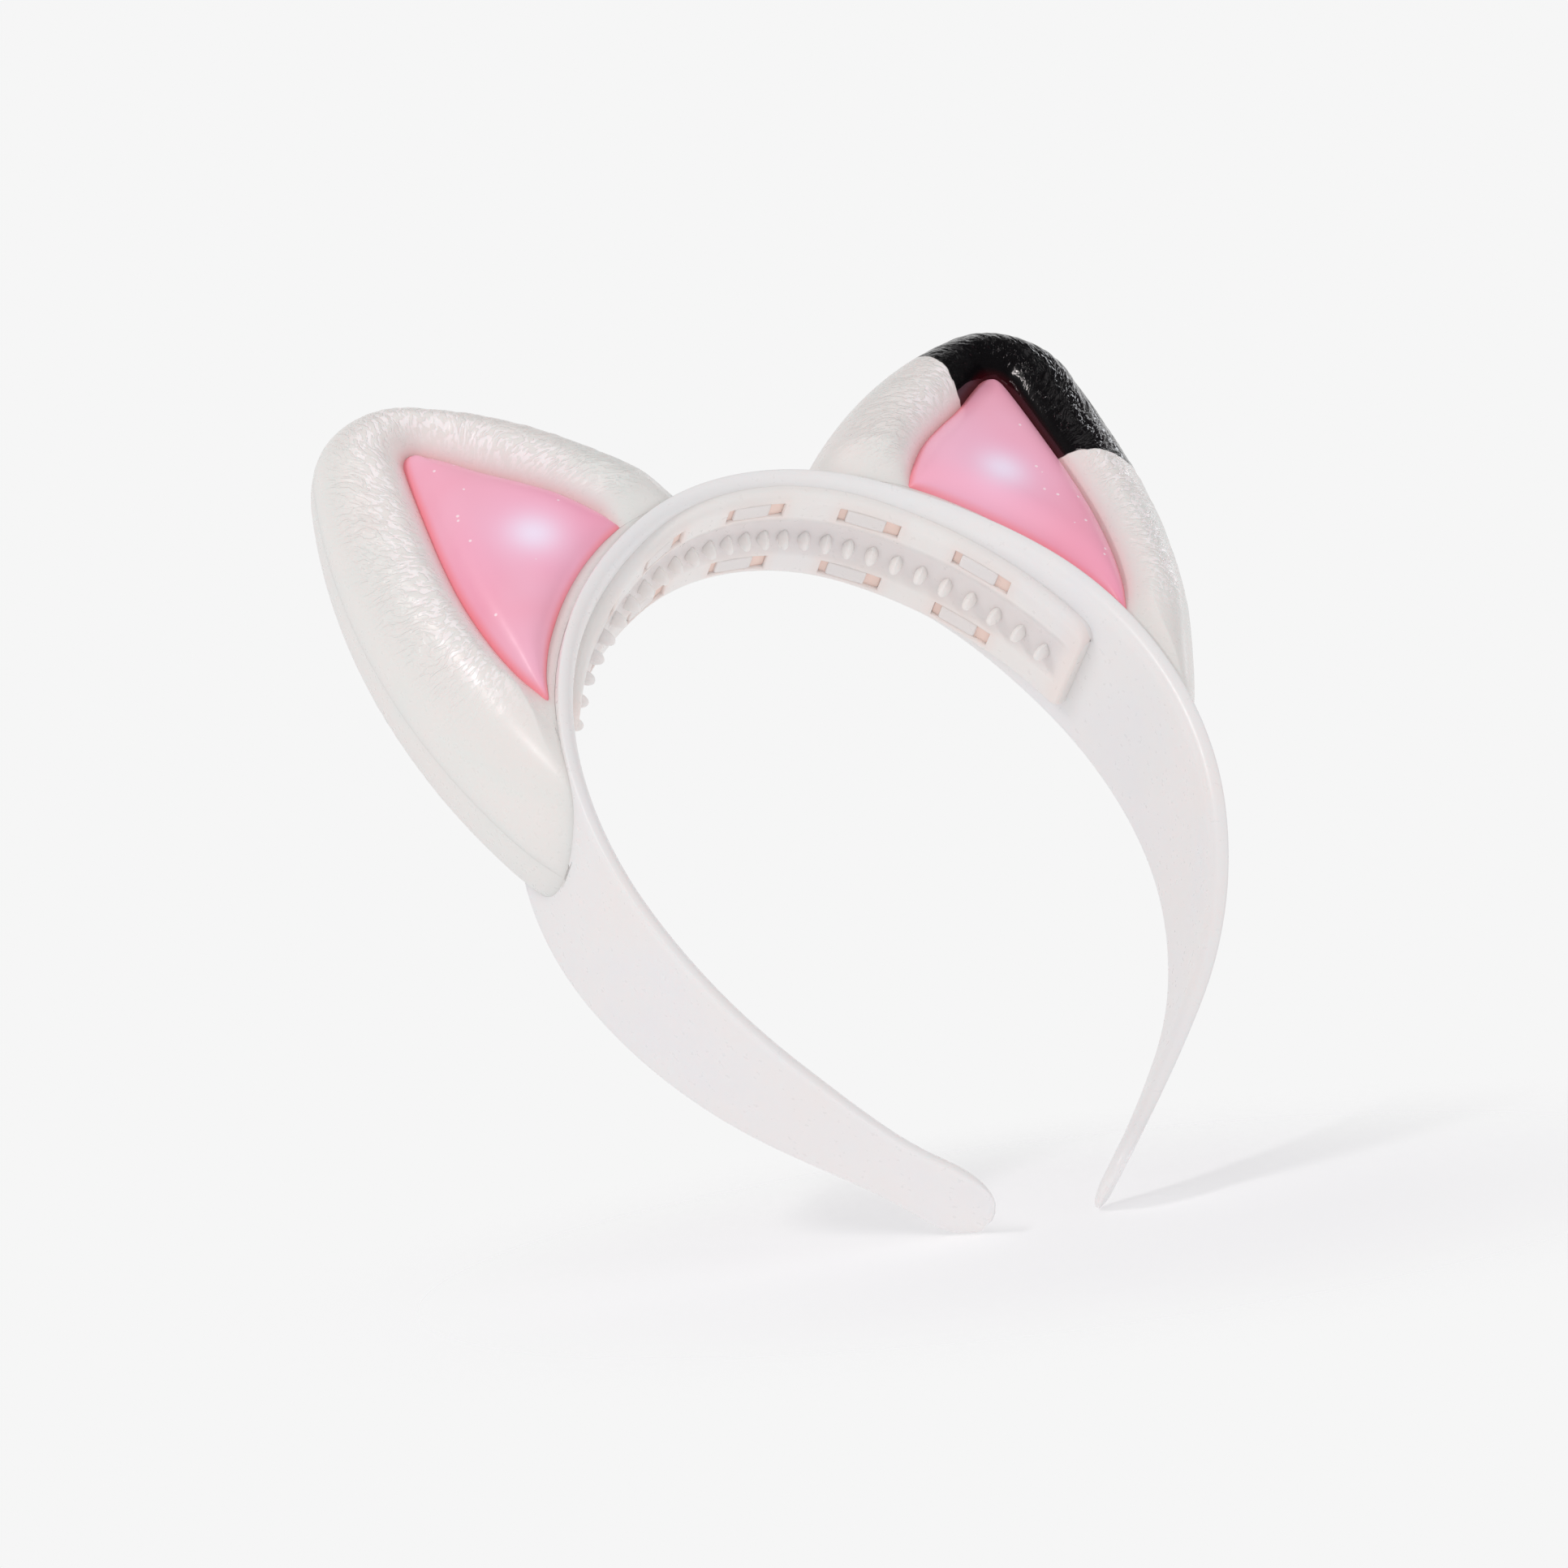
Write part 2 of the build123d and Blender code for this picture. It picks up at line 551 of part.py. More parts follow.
positive_v = bay_top_v - CONTACT_THICK / 2
negative_v = bay_low_v + CONTACT_THICK / 2
positive_contact = contact_plate(positive_v)
spring_reach = (bay_top_v - bay_low_v - 2.5 * CONTACT_THICK
                - CELL_COUNT * (CELL_HEIGHT + FIT_GAP) - 2 * FIT_GAP)
with BuildPart() as negative_contact:
    add(contact_plate(negative_v))
    with BuildSketch(Plane.YZ.offset(BAY_CENTRE[0] - SPRING_WIDTH / 2)):
        with BuildLine():
            foot_z = CROWN_Z + bay_low_v + CONTACT_THICK - 0.1
            leaf = ThreePointArc((cell_y - 4, foot_z), (cell_y + 0.5, foot_z + spring_reach),
                                 (cell_y + 4, foot_z + 0.6 * spring_reach))
            offset(leaf, amount=CONTACT_THICK / 2, side=Side.BOTH)
        make_face()
    extrude(amount=SPRING_WIDTH)

cells = []
for n in range(CELL_COUNT):
    top_z = CROWN_Z + bay_top_v - CONTACT_THICK - FIT_GAP - n * (CELL_HEIGHT + FIT_GAP)
    with BuildPart() as cell:
        with BuildSketch(Plane(origin=(BAY_CENTRE[0], cell_y, top_z), z_dir=(0, 0, -1))):
            Circle(CELL_RADIUS)
        extrude(amount=CELL_HEIGHT)
        fillet(cell.edges(), radius=0.5)
    cells.append(cell.part)

# ---------------------------------------------------------------- wires
def ear_point(u, v, y, side=1):
    """A wire point in an ear, in the ear's own coordinates."""
    return (side * u, y, CROWN_Z + v)


def hole_point(side, lift, y):
    """A wire point on the axis of a band hole, at a lift above the band's middle surface."""
    x, z, heading = band_at(side * WIRE_HOLE_S, lift)
    return (x, y, z)


def crown_points(y):
    """Points of a wire from one band hole to the other, +X side first."""
    steps = [WIRE_HOLE_S] + WIRE_STEPS + [0.0] + [-s for s in reversed(WIRE_STEPS)] + [-WIRE_HOLE_S]
    route = [hole_point(1, 6, y)]
    for s in steps:
        x, z, heading = band_at(s, WIRE_LIFT)
        route.append((x, y, z))
    return route + [hole_point(-1, 6, y)]


def wire(points):
    """A wire along straight runs joined by tangent arcs."""
    runs = [Vector(*b) - Vector(*a) for a, b in zip(points, points[1:])]
    radii = []
    for before, after in zip(runs, runs[1:]):
        half_turn = radians(before.get_angle(after)) / 2
        shorter = min(before.length, after.length)
        radii.append(min(0.45 * shorter * cos(half_turn) / sin(half_turn), WIRE_BEND_LIMIT))
    with BuildPart() as one:
        with BuildLine() as path:
            FilletPolyline(*points, radius=radii)
        with BuildSketch(Plane(origin=path.line @ 0, z_dir=path.line % 0)):
            Circle(WIRE_RADIUS)
        sweep()
    length = sum(edge.length for edge in path.edges())
    print("wire", round(length, 1), "radii", [round(r, 1) for r in radii],
          "filled", round(one.part.volume / (length * pi * WIRE_RADIUS ** 2), 3))
    return one.part


tab_y = BAY_FRONT_Y - 1 - FIT_GAP
led_back_y = LED_FACE_Y + LED_BOARD[2] + FIT_GAP
pads = [(PAD_START[0] + PAD_STEP[0] * n, PAD_START[1] + PAD_STEP[1] * n) for n in range(4)]


def from_board(n, y):
    """Points of crossing wire n from the band hole to its pad on the control board, at -X."""
    u, v = pads[n]
    return [ear_point(48, -17.0, y, -1), ear_point(u, v, y / 4, -1),
            ear_point(u, v, board_front_y, -1)]


positive_start = [ear_point(63.5, positive_v, tab_y), ear_point(63.5, positive_v, tab_y - 2),
                  ear_point(58.5, -15.5, -2.6), ear_point(47.5, -15.5, -2.6)]
negative_start = [ear_point(63.5, negative_v, tab_y), ear_point(63.5, negative_v, tab_y - 2),
                  ear_point(56.5, -20.5, -2.6), ear_point(46.5, -17.8, -2.0)]
anode_u, cathode_u = LED_LEGS_U
anode_start = [ear_point(anode_u, LED_LEGS_V, led_back_y), ear_point(anode_u, LED_LEGS_V, 0.2),
               ear_point(43.0, -13.4, 0.0)]
cathode_start = [ear_point(cathode_u, LED_LEGS_V, led_back_y), ear_point(cathode_u, LED_LEGS_V, 1.6),
                 ear_point(44.0, -14.8, 1.4)]
crossing = {"battery_negative_wire": (negative_start, 0), "battery_positive_wire": (positive_start, 1),
            "left_led_anode_wire": (anode_start, 2), "left_led_cathode_wire": (cathode_start, 3)}
wires = {}
for name, (start, n) in crossing.items():
    wires[name] = wire(start + crown_points(WIRE_Y[n]) + from_board(n, WIRE_Y[n]))
right_led_routes = {
    "right_led_anode_wire": [(57.4, -9.0, board_front_y), (57.4, -9.0, 1.6), (48.4, -12.6, 1.4),
                             (cathode_u, LED_LEGS_V, -0.6), (cathode_u, LED_LEGS_V, led_back_y)],
    "right_led_cathode_wire": [(57.4, -13.0, board_front_y), (57.4, -13.0, 0.6), (45.6, -13.8, 0.6),
                               (anode_u, LED_LEGS_V, -0.6), (anode_u, LED_LEGS_V, led_back_y)]}
for name, route in right_led_routes.items():
    wires[name] = wire([ear_point(u, v, y, -1) for u, v, y in route])

# ---------------------------------------------------------------- screws
with BuildPart() as band_screws:
    for s in BAND_SCREW_S:
        add(screw(band_plane(s, BAND_SCREW_Y, hook_floor - HEAD_LIFT), SCREW_LENGTH))
    mirror(about=Plane.YZ)

shell_screw_y = EAR_BACK - RECESS_DEPTH + FIT_GAP
with BuildPart() as shell_screws:
    for u, v in SHELL_SCREWS:
        place = Plane(origin=ear_point(u, v, shell_screw_y), z_dir=(0, 1, 0))
        add(screw(place, shell_screw_y + SHELL_PILOT_DEPTH - 2))
    mirror(about=Plane.YZ)

with BuildPart() as led_board_screws:
    for reach in (-LED_POST_REACH, LED_POST_REACH):
        place = ear_point(LED_CENTRE[0] + reach, LED_CENTRE[1], LED_FACE_Y - FIT_GAP)
        add(screw(Plane(origin=place, z_dir=(0, -1, 0)), SCREW_LENGTH))
    mirror(about=Plane.YZ)

with BuildPart() as control_board_screws:
    for u, v in BOARD_POSTS:
        place = Plane(origin=ear_point(u, v, board_front_y, -1), z_dir=(0, -1, 0))
        add(screw(place, SCREW_LENGTH))

door_screw = screw(Plane(origin=ear_point(*DOOR_SCREW, EAR_BACK + FIT_GAP), z_dir=(0, 1, 0)),
                   SCREW_LENGTH)

# ---------------------------------------------------------------- export
# The wearer's left ear, at +X, holds the cells; the right ear holds the switch.
pieces = {
    "headband": headband.part,
    "comb_cover": inner_cover.part,
    "left_ear_front_shell": front_shell.part,
    "left_ear_back_shell": battery_ear_back.part,
    "left_ear_lens": lens.part,
    "left_led": led.part,
    "left_led_board": led_board.part,
    "right_ear_front_shell": mirrored(front_shell.part),
    "right_ear_back_shell": mirrored(switch_ear_back.part),
    "right_ear_lens": mirrored(lens.part),
    "right_led": mirrored(led.part),
    "right_led_board": mirrored(led_board.part),
    "battery_holder": battery_holder.part,
    "battery_positive_contact": positive_contact,
    "battery_negative_contact": negative_contact.part,
    "battery_door": battery_door.part,
    "battery_door_screw": door_screw,
    "control_board": mirrored(control_board.part),
    "control_chip": mirrored(control_chip),
    "control_resistors": mirrored(resistors.part),
    "switch_body": mirrored(switch_body.part),
    "switch_plunger": mirrored(switch_plunger.part),
    "power_button": mirrored(power_button.part),
    "band_screws": band_screws.part,
    "shell_screws": shell_screws.part,
    "led_board_screws": led_board_screws.part,
    "control_board_screws": control_board_screws.part,
}
for n, part in enumerate(cells):
    pieces[f"button_cell_{n + 1}"] = part
pieces.update(wires)
for name, part in pieces.items():
    part.label = name
    export_step(part, f"parts/{name}.step")
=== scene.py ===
import json
import math

import bmesh
import bpy
import numpy as np
from mathutils import Matrix, Vector


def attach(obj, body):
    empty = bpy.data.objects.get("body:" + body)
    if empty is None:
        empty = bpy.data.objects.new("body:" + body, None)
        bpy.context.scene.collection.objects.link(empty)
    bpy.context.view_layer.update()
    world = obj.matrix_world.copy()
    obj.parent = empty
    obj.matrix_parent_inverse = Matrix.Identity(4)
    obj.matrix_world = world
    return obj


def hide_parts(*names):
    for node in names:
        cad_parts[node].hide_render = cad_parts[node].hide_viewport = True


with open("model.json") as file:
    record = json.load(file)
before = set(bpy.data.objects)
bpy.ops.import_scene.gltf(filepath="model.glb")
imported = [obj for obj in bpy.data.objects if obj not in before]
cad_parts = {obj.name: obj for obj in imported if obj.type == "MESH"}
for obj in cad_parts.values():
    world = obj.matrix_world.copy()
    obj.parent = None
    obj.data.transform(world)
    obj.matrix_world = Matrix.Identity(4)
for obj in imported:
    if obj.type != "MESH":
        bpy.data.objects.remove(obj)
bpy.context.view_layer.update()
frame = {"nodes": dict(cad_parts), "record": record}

# ------------------------------------------------------------------ sizes, in mm as in the CAD
MM = 0.001
ARCS = [(43.0, 32.0), (77.6, 28.0), (72.6, 46.0), (97.0, 23.6), (325.0, 7.0)]
CROWN = 4.2          # height of the band's middle surface at the crown
HALF = 1.6           # half the band's thickness
FACE = -4.2          # the comb cover's face, as a lift from the band's middle surface
WIDTHS = [(0.0, 12.5), (8.0, 13.3), (17.5, 14.7), (34.0, 17.2), (52.0, 18.1), (70.0, 17.8),
          (90.0, 16.3), (110.0, 13.8), (125.0, 11.1), (134.0, 9.0), (139.0, 8.0), (143.0, 7.8), (147.0, 8.2)]
DROP = 153.9         # to the rounded tips of the middle surface
CHANNEL = (9.0, 1.6, 68.0)     # half width, depth, arc length of the wire channel
SNAPS = [-48.0, -24.0, 0.0, 24.0, 48.0]
SNAP_Y = 7.5


def band_at(s, lift=0.0):
    """Points (x, z) and headings in radians at arc lengths s, lift above the middle surface."""
    s = np.atleast_1d(np.asarray(s, float))
    left, side = np.abs(s), np.where(s < 0, -1.0, 1.0)
    x, z, h = np.zeros_like(s), np.full_like(s, CROWN), np.zeros_like(s)
    for radius, turn in ARCS:
        step = np.minimum(left, radius * math.radians(turn))
        after = h + step / radius
        x += radius * (np.sin(after) - np.sin(h))
        z += radius * (np.cos(after) - np.cos(h))
        h = after
        left = left - step
    return side * (x + lift * np.sin(h)), z + lift * np.cos(h), side * h


def end_of_band():
    """Arc length at which the band has dropped to its tips."""
    s = np.linspace(150, sum(r * math.radians(t) for r, t in ARCS), 4001)
    return float(s[CROWN - band_at(s)[1] < DROP - 0.02][-1])


BAND_END = end_of_band()


def on_band(s, y, lift):
    """Points in space at arc lengths s, depths y and lifts (arrays of one shape)."""
    s, y, lift = np.broadcast_arrays(np.asarray(s, float), y, lift)
    x0, z0, h = band_at(s.ravel())
    x = x0 + lift.ravel() * np.sin(h)
    z = z0 + lift.ravel() * np.cos(h)
    return np.stack([x, y.ravel(), z], 1)


def smooth(x):
    x = np.clip(x, 0.0, 1.0)
    return x * x * (3 - 2 * x)


def cubic(x, points):
    """A smooth curve through points (Catmull-Rom slopes on uneven steps)."""
    px, py = np.array(points, float).T
    slope = np.gradient(py, px)
    k = np.clip(np.searchsorted(px, x) - 1, 0, len(px) - 2)
    w = px[k + 1] - px[k]
    t = np.clip((x - px[k]) / w, 0, 1)
    return ((2 * t**3 - 3 * t**2 + 1) * py[k] + (t**3 - 2 * t**2 + t) * w * slope[k]
            + (3 * t**2 - 2 * t**3) * py[k + 1] + (t**3 - t**2) * w * slope[k + 1])


def half_width(s):
    """Half width of the band at arc lengths s, with its rounded tips."""
    drop = CROWN - band_at(np.minimum(np.abs(s), BAND_END - 1e-6))[1]
    start, end = WIDTHS[-1]
    w = cubic(np.minimum(drop, start), WIDTHS)
    t = np.clip((drop - start) / (DROP - start), 0, 1)
    return np.where(drop > start, end * (1 - t**2.5)**(1 / 2.3), w)


# ------------------------------------------------------------------ mesh helpers
def make(name, verts, faces, attrs=None):
    mesh = bpy.data.meshes.new(name)
    mesh.from_pydata([tuple(v) for v in np.asarray(verts) * MM], [], [tuple(map(int, f)) for f in faces])
    mesh.validate()
    mesh.update()
    for key, values in (attrs or {}).items():
        layer = mesh.attributes.new(key, "FLOAT", "POINT")
        layer.data.foreach_set("value", np.asarray(values, np.float32).ravel())
    mesh.polygons.foreach_set("use_smooth", [True] * len(mesh.polygons))
    obj = bpy.data.objects.new(name, mesh)
    bpy.context.collection.objects.link(obj)
    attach(obj, "root")
    return obj


def grid_faces(rows, cols, wrap=False, start=0, flip=False):
    """Quads of a rows x cols grid of vertices numbered row by row."""
    r = np.arange(rows - 1)[:, None]
    c = np.arange(cols if wrap else cols - 1)[None, :]
    a = r * cols + c
    b = r * cols + (c + 1) % cols
    quads = np.stack([a, b, b + cols, a + cols], -1).reshape(-1, 4) + start
    return quads[:, ::-1] if flip else quads


def join_mesh(parts):
    """One vertex array and one face list from several."""
    verts, faces, base = [], [], 0
    for v, f in parts:
        verts.append(np.asarray(v, float))
        faces += [tuple(int(i) + base for i in q) for q in f]
        base += len(v)
    return np.concatenate(verts), faces


def fix_normals(obj):
    bm = bmesh.new()
    bm.from_mesh(obj.data)
    bmesh.ops.remove_doubles(bm, verts=bm.verts, dist=1e-7)
    bmesh.ops.recalc_face_normals(bm, faces=bm.faces)
    bm.to_mesh(obj.data)
    bm.free()


def lattice_noise(a, b, seed, shape=(97, 89)):
    """Smooth value noise in -1..1 at coordinates a, b (in cells)."""
    table = np.random.default_rng(seed).uniform(-1, 1, shape)
    i, j = np.floor(a).astype(int), np.floor(b).astype(int)
    u, v = smooth(a - i), smooth(b - j)

    def at(m, n):
        return table[np.mod(i + m, shape[0]), np.mod(j + n, shape[1])]

    low = at(0, 0) * (1 - u) + at(1, 0) * u
    high = at(0, 1) * (1 - u) + at(1, 1) * u
    return low * (1 - v) + high * v


# ------------------------------------------------------------------ headband
def band_profile():
    """Half of the band's section: (y offset from the edge or fraction, lift)."""
    edge = [(-0.40, HALF), (-0.22, HALF - 0.05), (-0.08, HALF - 0.16), (0.0, HALF - 0.36)]
    inner_r = (3.0, 2.5)
    for n in range(10):
        a = math.radians(90 * n / 9)
        edge.append((-inner_r[0] * (1 - math.cos(a)), -HALF + inner_r[1] * (1 - math.sin(a))))
    return edge


def build_headband():
    fine = np.concatenate([
        np.linspace(0, 66, 60), [67.0, 67.6, 67.99, 68.01, 68.4, 69.0], np.linspace(70, 186, 100)[1:],
        BAND_END - (BAND_END - 186) * np.cos(np.linspace(0, math.pi / 2, 30))[1:]])
    s = np.concatenate([-fine[::-1], fine[1:]])
    w = np.maximum(half_width(s), 0.02)
    profile = band_profile()
    rows = []
    for k, (sk, wk) in enumerate(zip(s, w)):
        squeeze = min(1.0, wk / 5.0)
        thin = math.sqrt(max(0.0, 1 - (1 - min(1.0, wk / 4.5))**2))
        thick = 1.0 - 0.18 * float(smooth((abs(sk) - 150) / 45)) - 0.4 * float(smooth((abs(sk) - BAND_END + 8) / 8))
        floor_lift = CHANNEL[1] if abs(sk) < CHANNEL[2] else 0.0
        top = [(f * (wk - 0.4 * squeeze), HALF * (1 + 0.03 * (1 - f * f))) for f in (0.0, 0.25, 0.5, 0.75, 0.92)]
        side = [(wk + dy * squeeze, lift) for dy, lift in profile]
        flat = wk - 3.0 * squeeze
        chan = min(CHANNEL[0], flat * 0.97)
        low = [(flat * 0.5 + chan * 0.5, -HALF), (chan + 0.01, -HALF), (chan, -HALF + floor_lift),
               (chan * 0.5, -HALF + floor_lift), (0.0, -HALF + floor_lift)]
        half = [(y, lift * thin * thick) for y, lift in top + side + low]
        loop = half + [(-y, lift) for y, lift in half[-2:0:-1]]
        rows.append(on_band(sk, np.array([p[0] for p in loop]), np.array([p[1] for p in loop])))
    verts = np.concatenate(rows)
    verts[:, 2] = np.maximum(verts[:, 2], CROWN - 153.98)
    cols = len(rows[0])
    faces = [tuple(q) for q in grid_faces(len(rows), cols, wrap=True)]
    faces.append(tuple(range(cols)))
    faces.append(tuple(len(verts) - 1 - n for n in range(cols)))
    parts = [(verts, faces)]
    for step in SNAPS:
        for row in (-1, 1):
            parts.append(soft_block(step - 0.7, row * SNAP_Y, 8.0, 3.36, 0.0, FACE + 0.1, 0.3))
            parts.append(soft_block(step, row * SNAP_Y, 12.44, 3.36, 0.0, FACE + 0.75, 0.05))
    # painted light: the pads under the windows (full) and the snap bars (0.22) are marked for a coral tint, a
    # painted warm glow of light through the plastic that lightens the shaded holes
    painted_hole_glow = [np.zeros(len(part[0])) for part in parts]
    for bar, pad in zip(painted_hole_glow[1::2], painted_hole_glow[2::2]):
        bar[:] = 0.22
        pad[:] = 1.0
    verts, faces = join_mesh(parts)
    obj = make("headband_shell", verts, faces, {"painted_hole_glow": np.concatenate(painted_hole_glow)})
    fix_normals(obj)
    return obj


def soft_block(s, y, length, width, near, far, r):
    """A rounded block on the band: near and far are lifts, far is the visible end."""
    rings = [(near, 0.0), (far + r, 0.0), (far + 0.3 * r, 0.3 * r), (far, r), (far, r + 0.4)]
    verts = []
    for lift, inset in rings:
        a, b = length / 2 - inset, width / 2 - inset
        c = max(0.45 - inset * 0.5, 0.05)
        loop = []
        for cx, cy, start in ((a - c, b - c, 0), (-a + c, b - c, 90), (-a + c, -b + c, 180), (a - c, -b + c, 270)):
            for n in range(5):
                t = math.radians(start + 90 * n / 4)
                loop.append((s + cx + c * math.cos(t), y + cy + c * math.sin(t)))
        loop = np.array(loop)
        verts.append(on_band(loop[:, 0], loop[:, 1], lift))
    faces = [tuple(q) for q in grid_faces(len(rings), 20, wrap=True)]
    faces.append(tuple(80 + n for n in range(20)))
    return np.concatenate(verts), faces


# ------------------------------------------------------------------ comb cover
COVER_END = 73.0
COVER_HALF = 11.0
WINDOW = (12.5, 3.4)


def cover_lift(s, y, y_low, y_high):
    """Lift of the cover's face: rails along both edges, a shallow trough between them."""
    trough = 0.65 * smooth((5.6 - np.abs(y)) / 2.2) * smooth((COVER_END - 1.5 - np.abs(s)) / 3.0)
    lift = FACE + trough
    for gap, r in ((y - y_low, 2.0), (y_high - y, 1.6), (COVER_END - np.abs(s), 0.7)):
        d = np.clip(gap, 0, r)
        lift = lift + (r - np.sqrt(np.maximum(r * r - (r - d)**2, 0))) * 0.9
    return lift


def build_cover():
    s_marks, y_marks = [], []
    for c in SNAPS:
        for e in (WINDOW[0] / 2, -WINDOW[0] / 2):
            s_marks += [c + e, c + e + 0.15, c + e - 0.15, c + e + 0.35, c + e - 0.35]
    for row in (-1, 1):
        for e in (WINDOW[1] / 2, -WINDOW[1] / 2):
            y_marks += [row * SNAP_Y + e, row * SNAP_Y + e + 0.15, row * SNAP_Y + e - 0.15]
    ends = COVER_END - 1.4 * (1 - np.cos(np.linspace(0, math.pi / 2, 8)))
    s = np.unique(np.round(np.concatenate([s_marks, np.arange(-71.5, 71.6, 0.9), ends, -ends]), 4))
    edge = 2.4 * (1 - np.cos(np.linspace(0, math.pi / 2, 10)))
    y = np.unique(np.round(np.concatenate(
        [y_marks, np.arange(-8.4, 8.5, 0.4), COVER_HALF - edge, -COVER_HALF + edge]), 4))
    s, y = s[np.concatenate([[True], np.diff(s) > 0.03])], y[np.concatenate([[True], np.diff(y) > 0.03])]
    S, Y = np.meshgrid(s, y, indexing="ij")
    beyond = np.clip(np.abs(S) - (COVER_END - 3.2), 0, 3.2)
    low = -COVER_HALF + (3.2 - np.sqrt(3.2**2 - beyond**2)) * 0.95
    high = COVER_HALF - (3.2 - np.sqrt(3.2**2 - beyond**2)) * 0.35
    Y2 = low + (Y + COVER_HALF) / (2 * COVER_HALF) * (high - low)
    lift = cover_lift(S, Y2, low, high)

    # the face dips a little round each window
    def window_gap(Sx, Yx, size):
        best = np.full(Sx.shape, 9.0)
        for c in SNAPS:
            for row in (-1, 1):
                dx = np.abs(Sx - c) - size[0] / 2
                dy = np.abs(Yx - row * SNAP_Y) - size[1] / 2
                d = np.where((dx > 0) & (dy > 0), np.hypot(dx, dy), np.maximum(dx, dy))
                best = np.minimum(best, d)
        return best

    gap = window_gap(S, Y2, WINDOW)
    lift = lift + np.where(gap < 0.3, 0.3 - np.sqrt(np.maximum(0.09 - (0.3 - np.clip(gap, 0, 0.3))**2, 0)), 0)
    verts = on_band(S, Y2, lift)
    rows, cols = S.shape
    faces = []
    mid_s, mid_y = (s[1:] + s[:-1]) / 2, (y[1:] + y[:-1]) / 2
    open_cell = window_gap(*np.meshgrid(mid_s, mid_y, indexing="ij"), WINDOW) < 0
    for i in range(rows - 1):
        for j in range(cols - 1):
            if not open_cell[i, j]:
                a = i * cols + j
                faces.append((a, a + 1, a + cols + 1, a + cols))
    parts = [(verts, faces)]
    # side walls, down into the band
    loop = ([(i, 0) for i in range(rows)] + [(rows - 1, j) for j in range(1, cols)]
            + [(i, cols - 1) for i in range(rows - 2, -1, -1)] + [(0, j) for j in range(cols - 2, 0, -1)])
    top = np.array([i * cols + j for i, j in loop])
    ss, yy = S.ravel()[top], Y2.ravel()[top]
    wall = np.concatenate([verts[top], on_band(ss, yy, -HALF - 0.5), on_band(ss, yy, -HALF + 0.45)])
    parts.append((wall, [tuple(q) for q in grid_faces(3, len(top), wrap=True)]))
    # window walls, straight down
    for c in SNAPS:
        for row in (-1, 1):
            rings = [(WINDOW, FACE + 0.3), (WINDOW, FACE + 0.6), (WINDOW, FACE + 0.9), (WINDOW, FACE + 1.3)]
            loops = []
            for (a, b), lf in rings:
                n = 8
                u = np.linspace(-1, 1, n)
                pts = [(p * a / 2, -b / 2) for p in u[:-1]] + [(a / 2, p * b / 2) for p in u[:-1]]
                pts += [(-p * a / 2, b / 2) for p in u[:-1]] + [(-a / 2, -p * b / 2) for p in u[:-1]]
                pts = np.array(pts)
                loops.append(on_band(c + pts[:, 0], row * SNAP_Y + pts[:, 1], lf))
            parts.append((np.concatenate(loops), [tuple(q) for q in grid_faces(4, 28, wrap=True, flip=True)]))
    for n in range(27):
        parts.append(tooth(tooth_place(n - 13), n))
    verts, faces = join_mesh(parts)
    extra = len(verts) - S.size
    # painted shade: the sunken middle of the cover, away from its ends, is marked for a darker tone that paints the
    # shade in the trough
    painted_trough_shade = smooth((5.8 - np.abs(Y2)) / 3.2) * smooth((COVER_END - 2.0 - np.abs(S)) / 4.0)
    # painted light: a warm pink tint round each window and towards the cover's ends, a painted glow of light
    # through the thin plastic; walls and teeth get a tenth of it
    painted_glow = np.exp(-(np.clip(gap, 0, 9) / 1.6)**2) + smooth((np.abs(S) - COVER_END + 7.0) / 7.0)
    attrs = {"trough": np.concatenate([painted_trough_shade.ravel(), np.zeros(extra)]),
             "painted_glow": np.concatenate([np.clip(painted_glow, 0, 1).ravel(), np.full(extra, 0.1)])}
    return make("comb_cover_shell", verts, faces, attrs)


def tooth_place(n):
    """Arc length of tooth n, counted from the crown: the gaps grow towards the ends."""
    return n * (4.0 + 0.081 * abs(n))


def tooth(s, n):
    """A drop-shaped tooth: a narrow front edge that rises to a round tip."""
    rng = np.random.default_rng(100 + n)
    around, up = 28, 11
    t = np.linspace(0, 2 * math.pi, around, endpoint=False)
    base_x = 1.42 * np.sin(t) * np.abs(np.sin(t / 2))**0.5
    base_y = 0.25 - 1.75 * np.cos(t)
    verts = []
    height = 3.05 * rng.uniform(0.97, 1.03)
    for k in range(up):
        h = math.sin(math.pi / 2 * k / (up - 1))
        size = math.sqrt(max(0.0, 1 - h**2.6))
        x = base_x * size
        y = 0.6 + (base_y - 0.6) * size + 0.35
        verts.append(on_band(s + x, y, FACE + 0.75 - 2.9 * h * height / 3.05))
    faces = [tuple(q) for q in grid_faces(up, around, wrap=True)]
    return np.concatenate(verts), faces


# ------------------------------------------------------------------ ear outline and heights
def arcs_from(start, heading, arcs, step=0.5):
    """Points along tangent arcs that turn clockwise."""
    points = [np.array(start, float)]
    h = math.radians(heading)
    for radius, turn in arcs:
        n = max(2, int(radius * math.radians(turn) / step))
        for _ in range(n):
            d = math.radians(turn) / n
            mid = h - d / 2
            points.append(points[-1] + 2 * radius * math.sin(d / 2) * np.array([math.cos(mid), math.sin(mid)]))
            h -= d
    return np.array(points)


def spline_points(points, n):
    """n even points along a Catmull-Rom curve through points, ends included."""
    p = np.array(points, float)
    p = np.concatenate([[2 * p[0] - p[1]], p, [2 * p[-1] - p[-2]]])
    out = []
    for k in range(1, len(p) - 2):
        t = np.linspace(0, 1, 30, endpoint=False)[:, None]
        a, b, c, d = p[k - 1], p[k], p[k + 1], p[k + 2]
        out.append(0.5 * (2 * b + (c - a) * t + (2 * a - 5 * b + 4 * c - d) * t**2
                          + (3 * b - a - 3 * c + d) * t**3))
    out = np.concatenate(out + [p[-2:-1]])
    return resample(out, n)


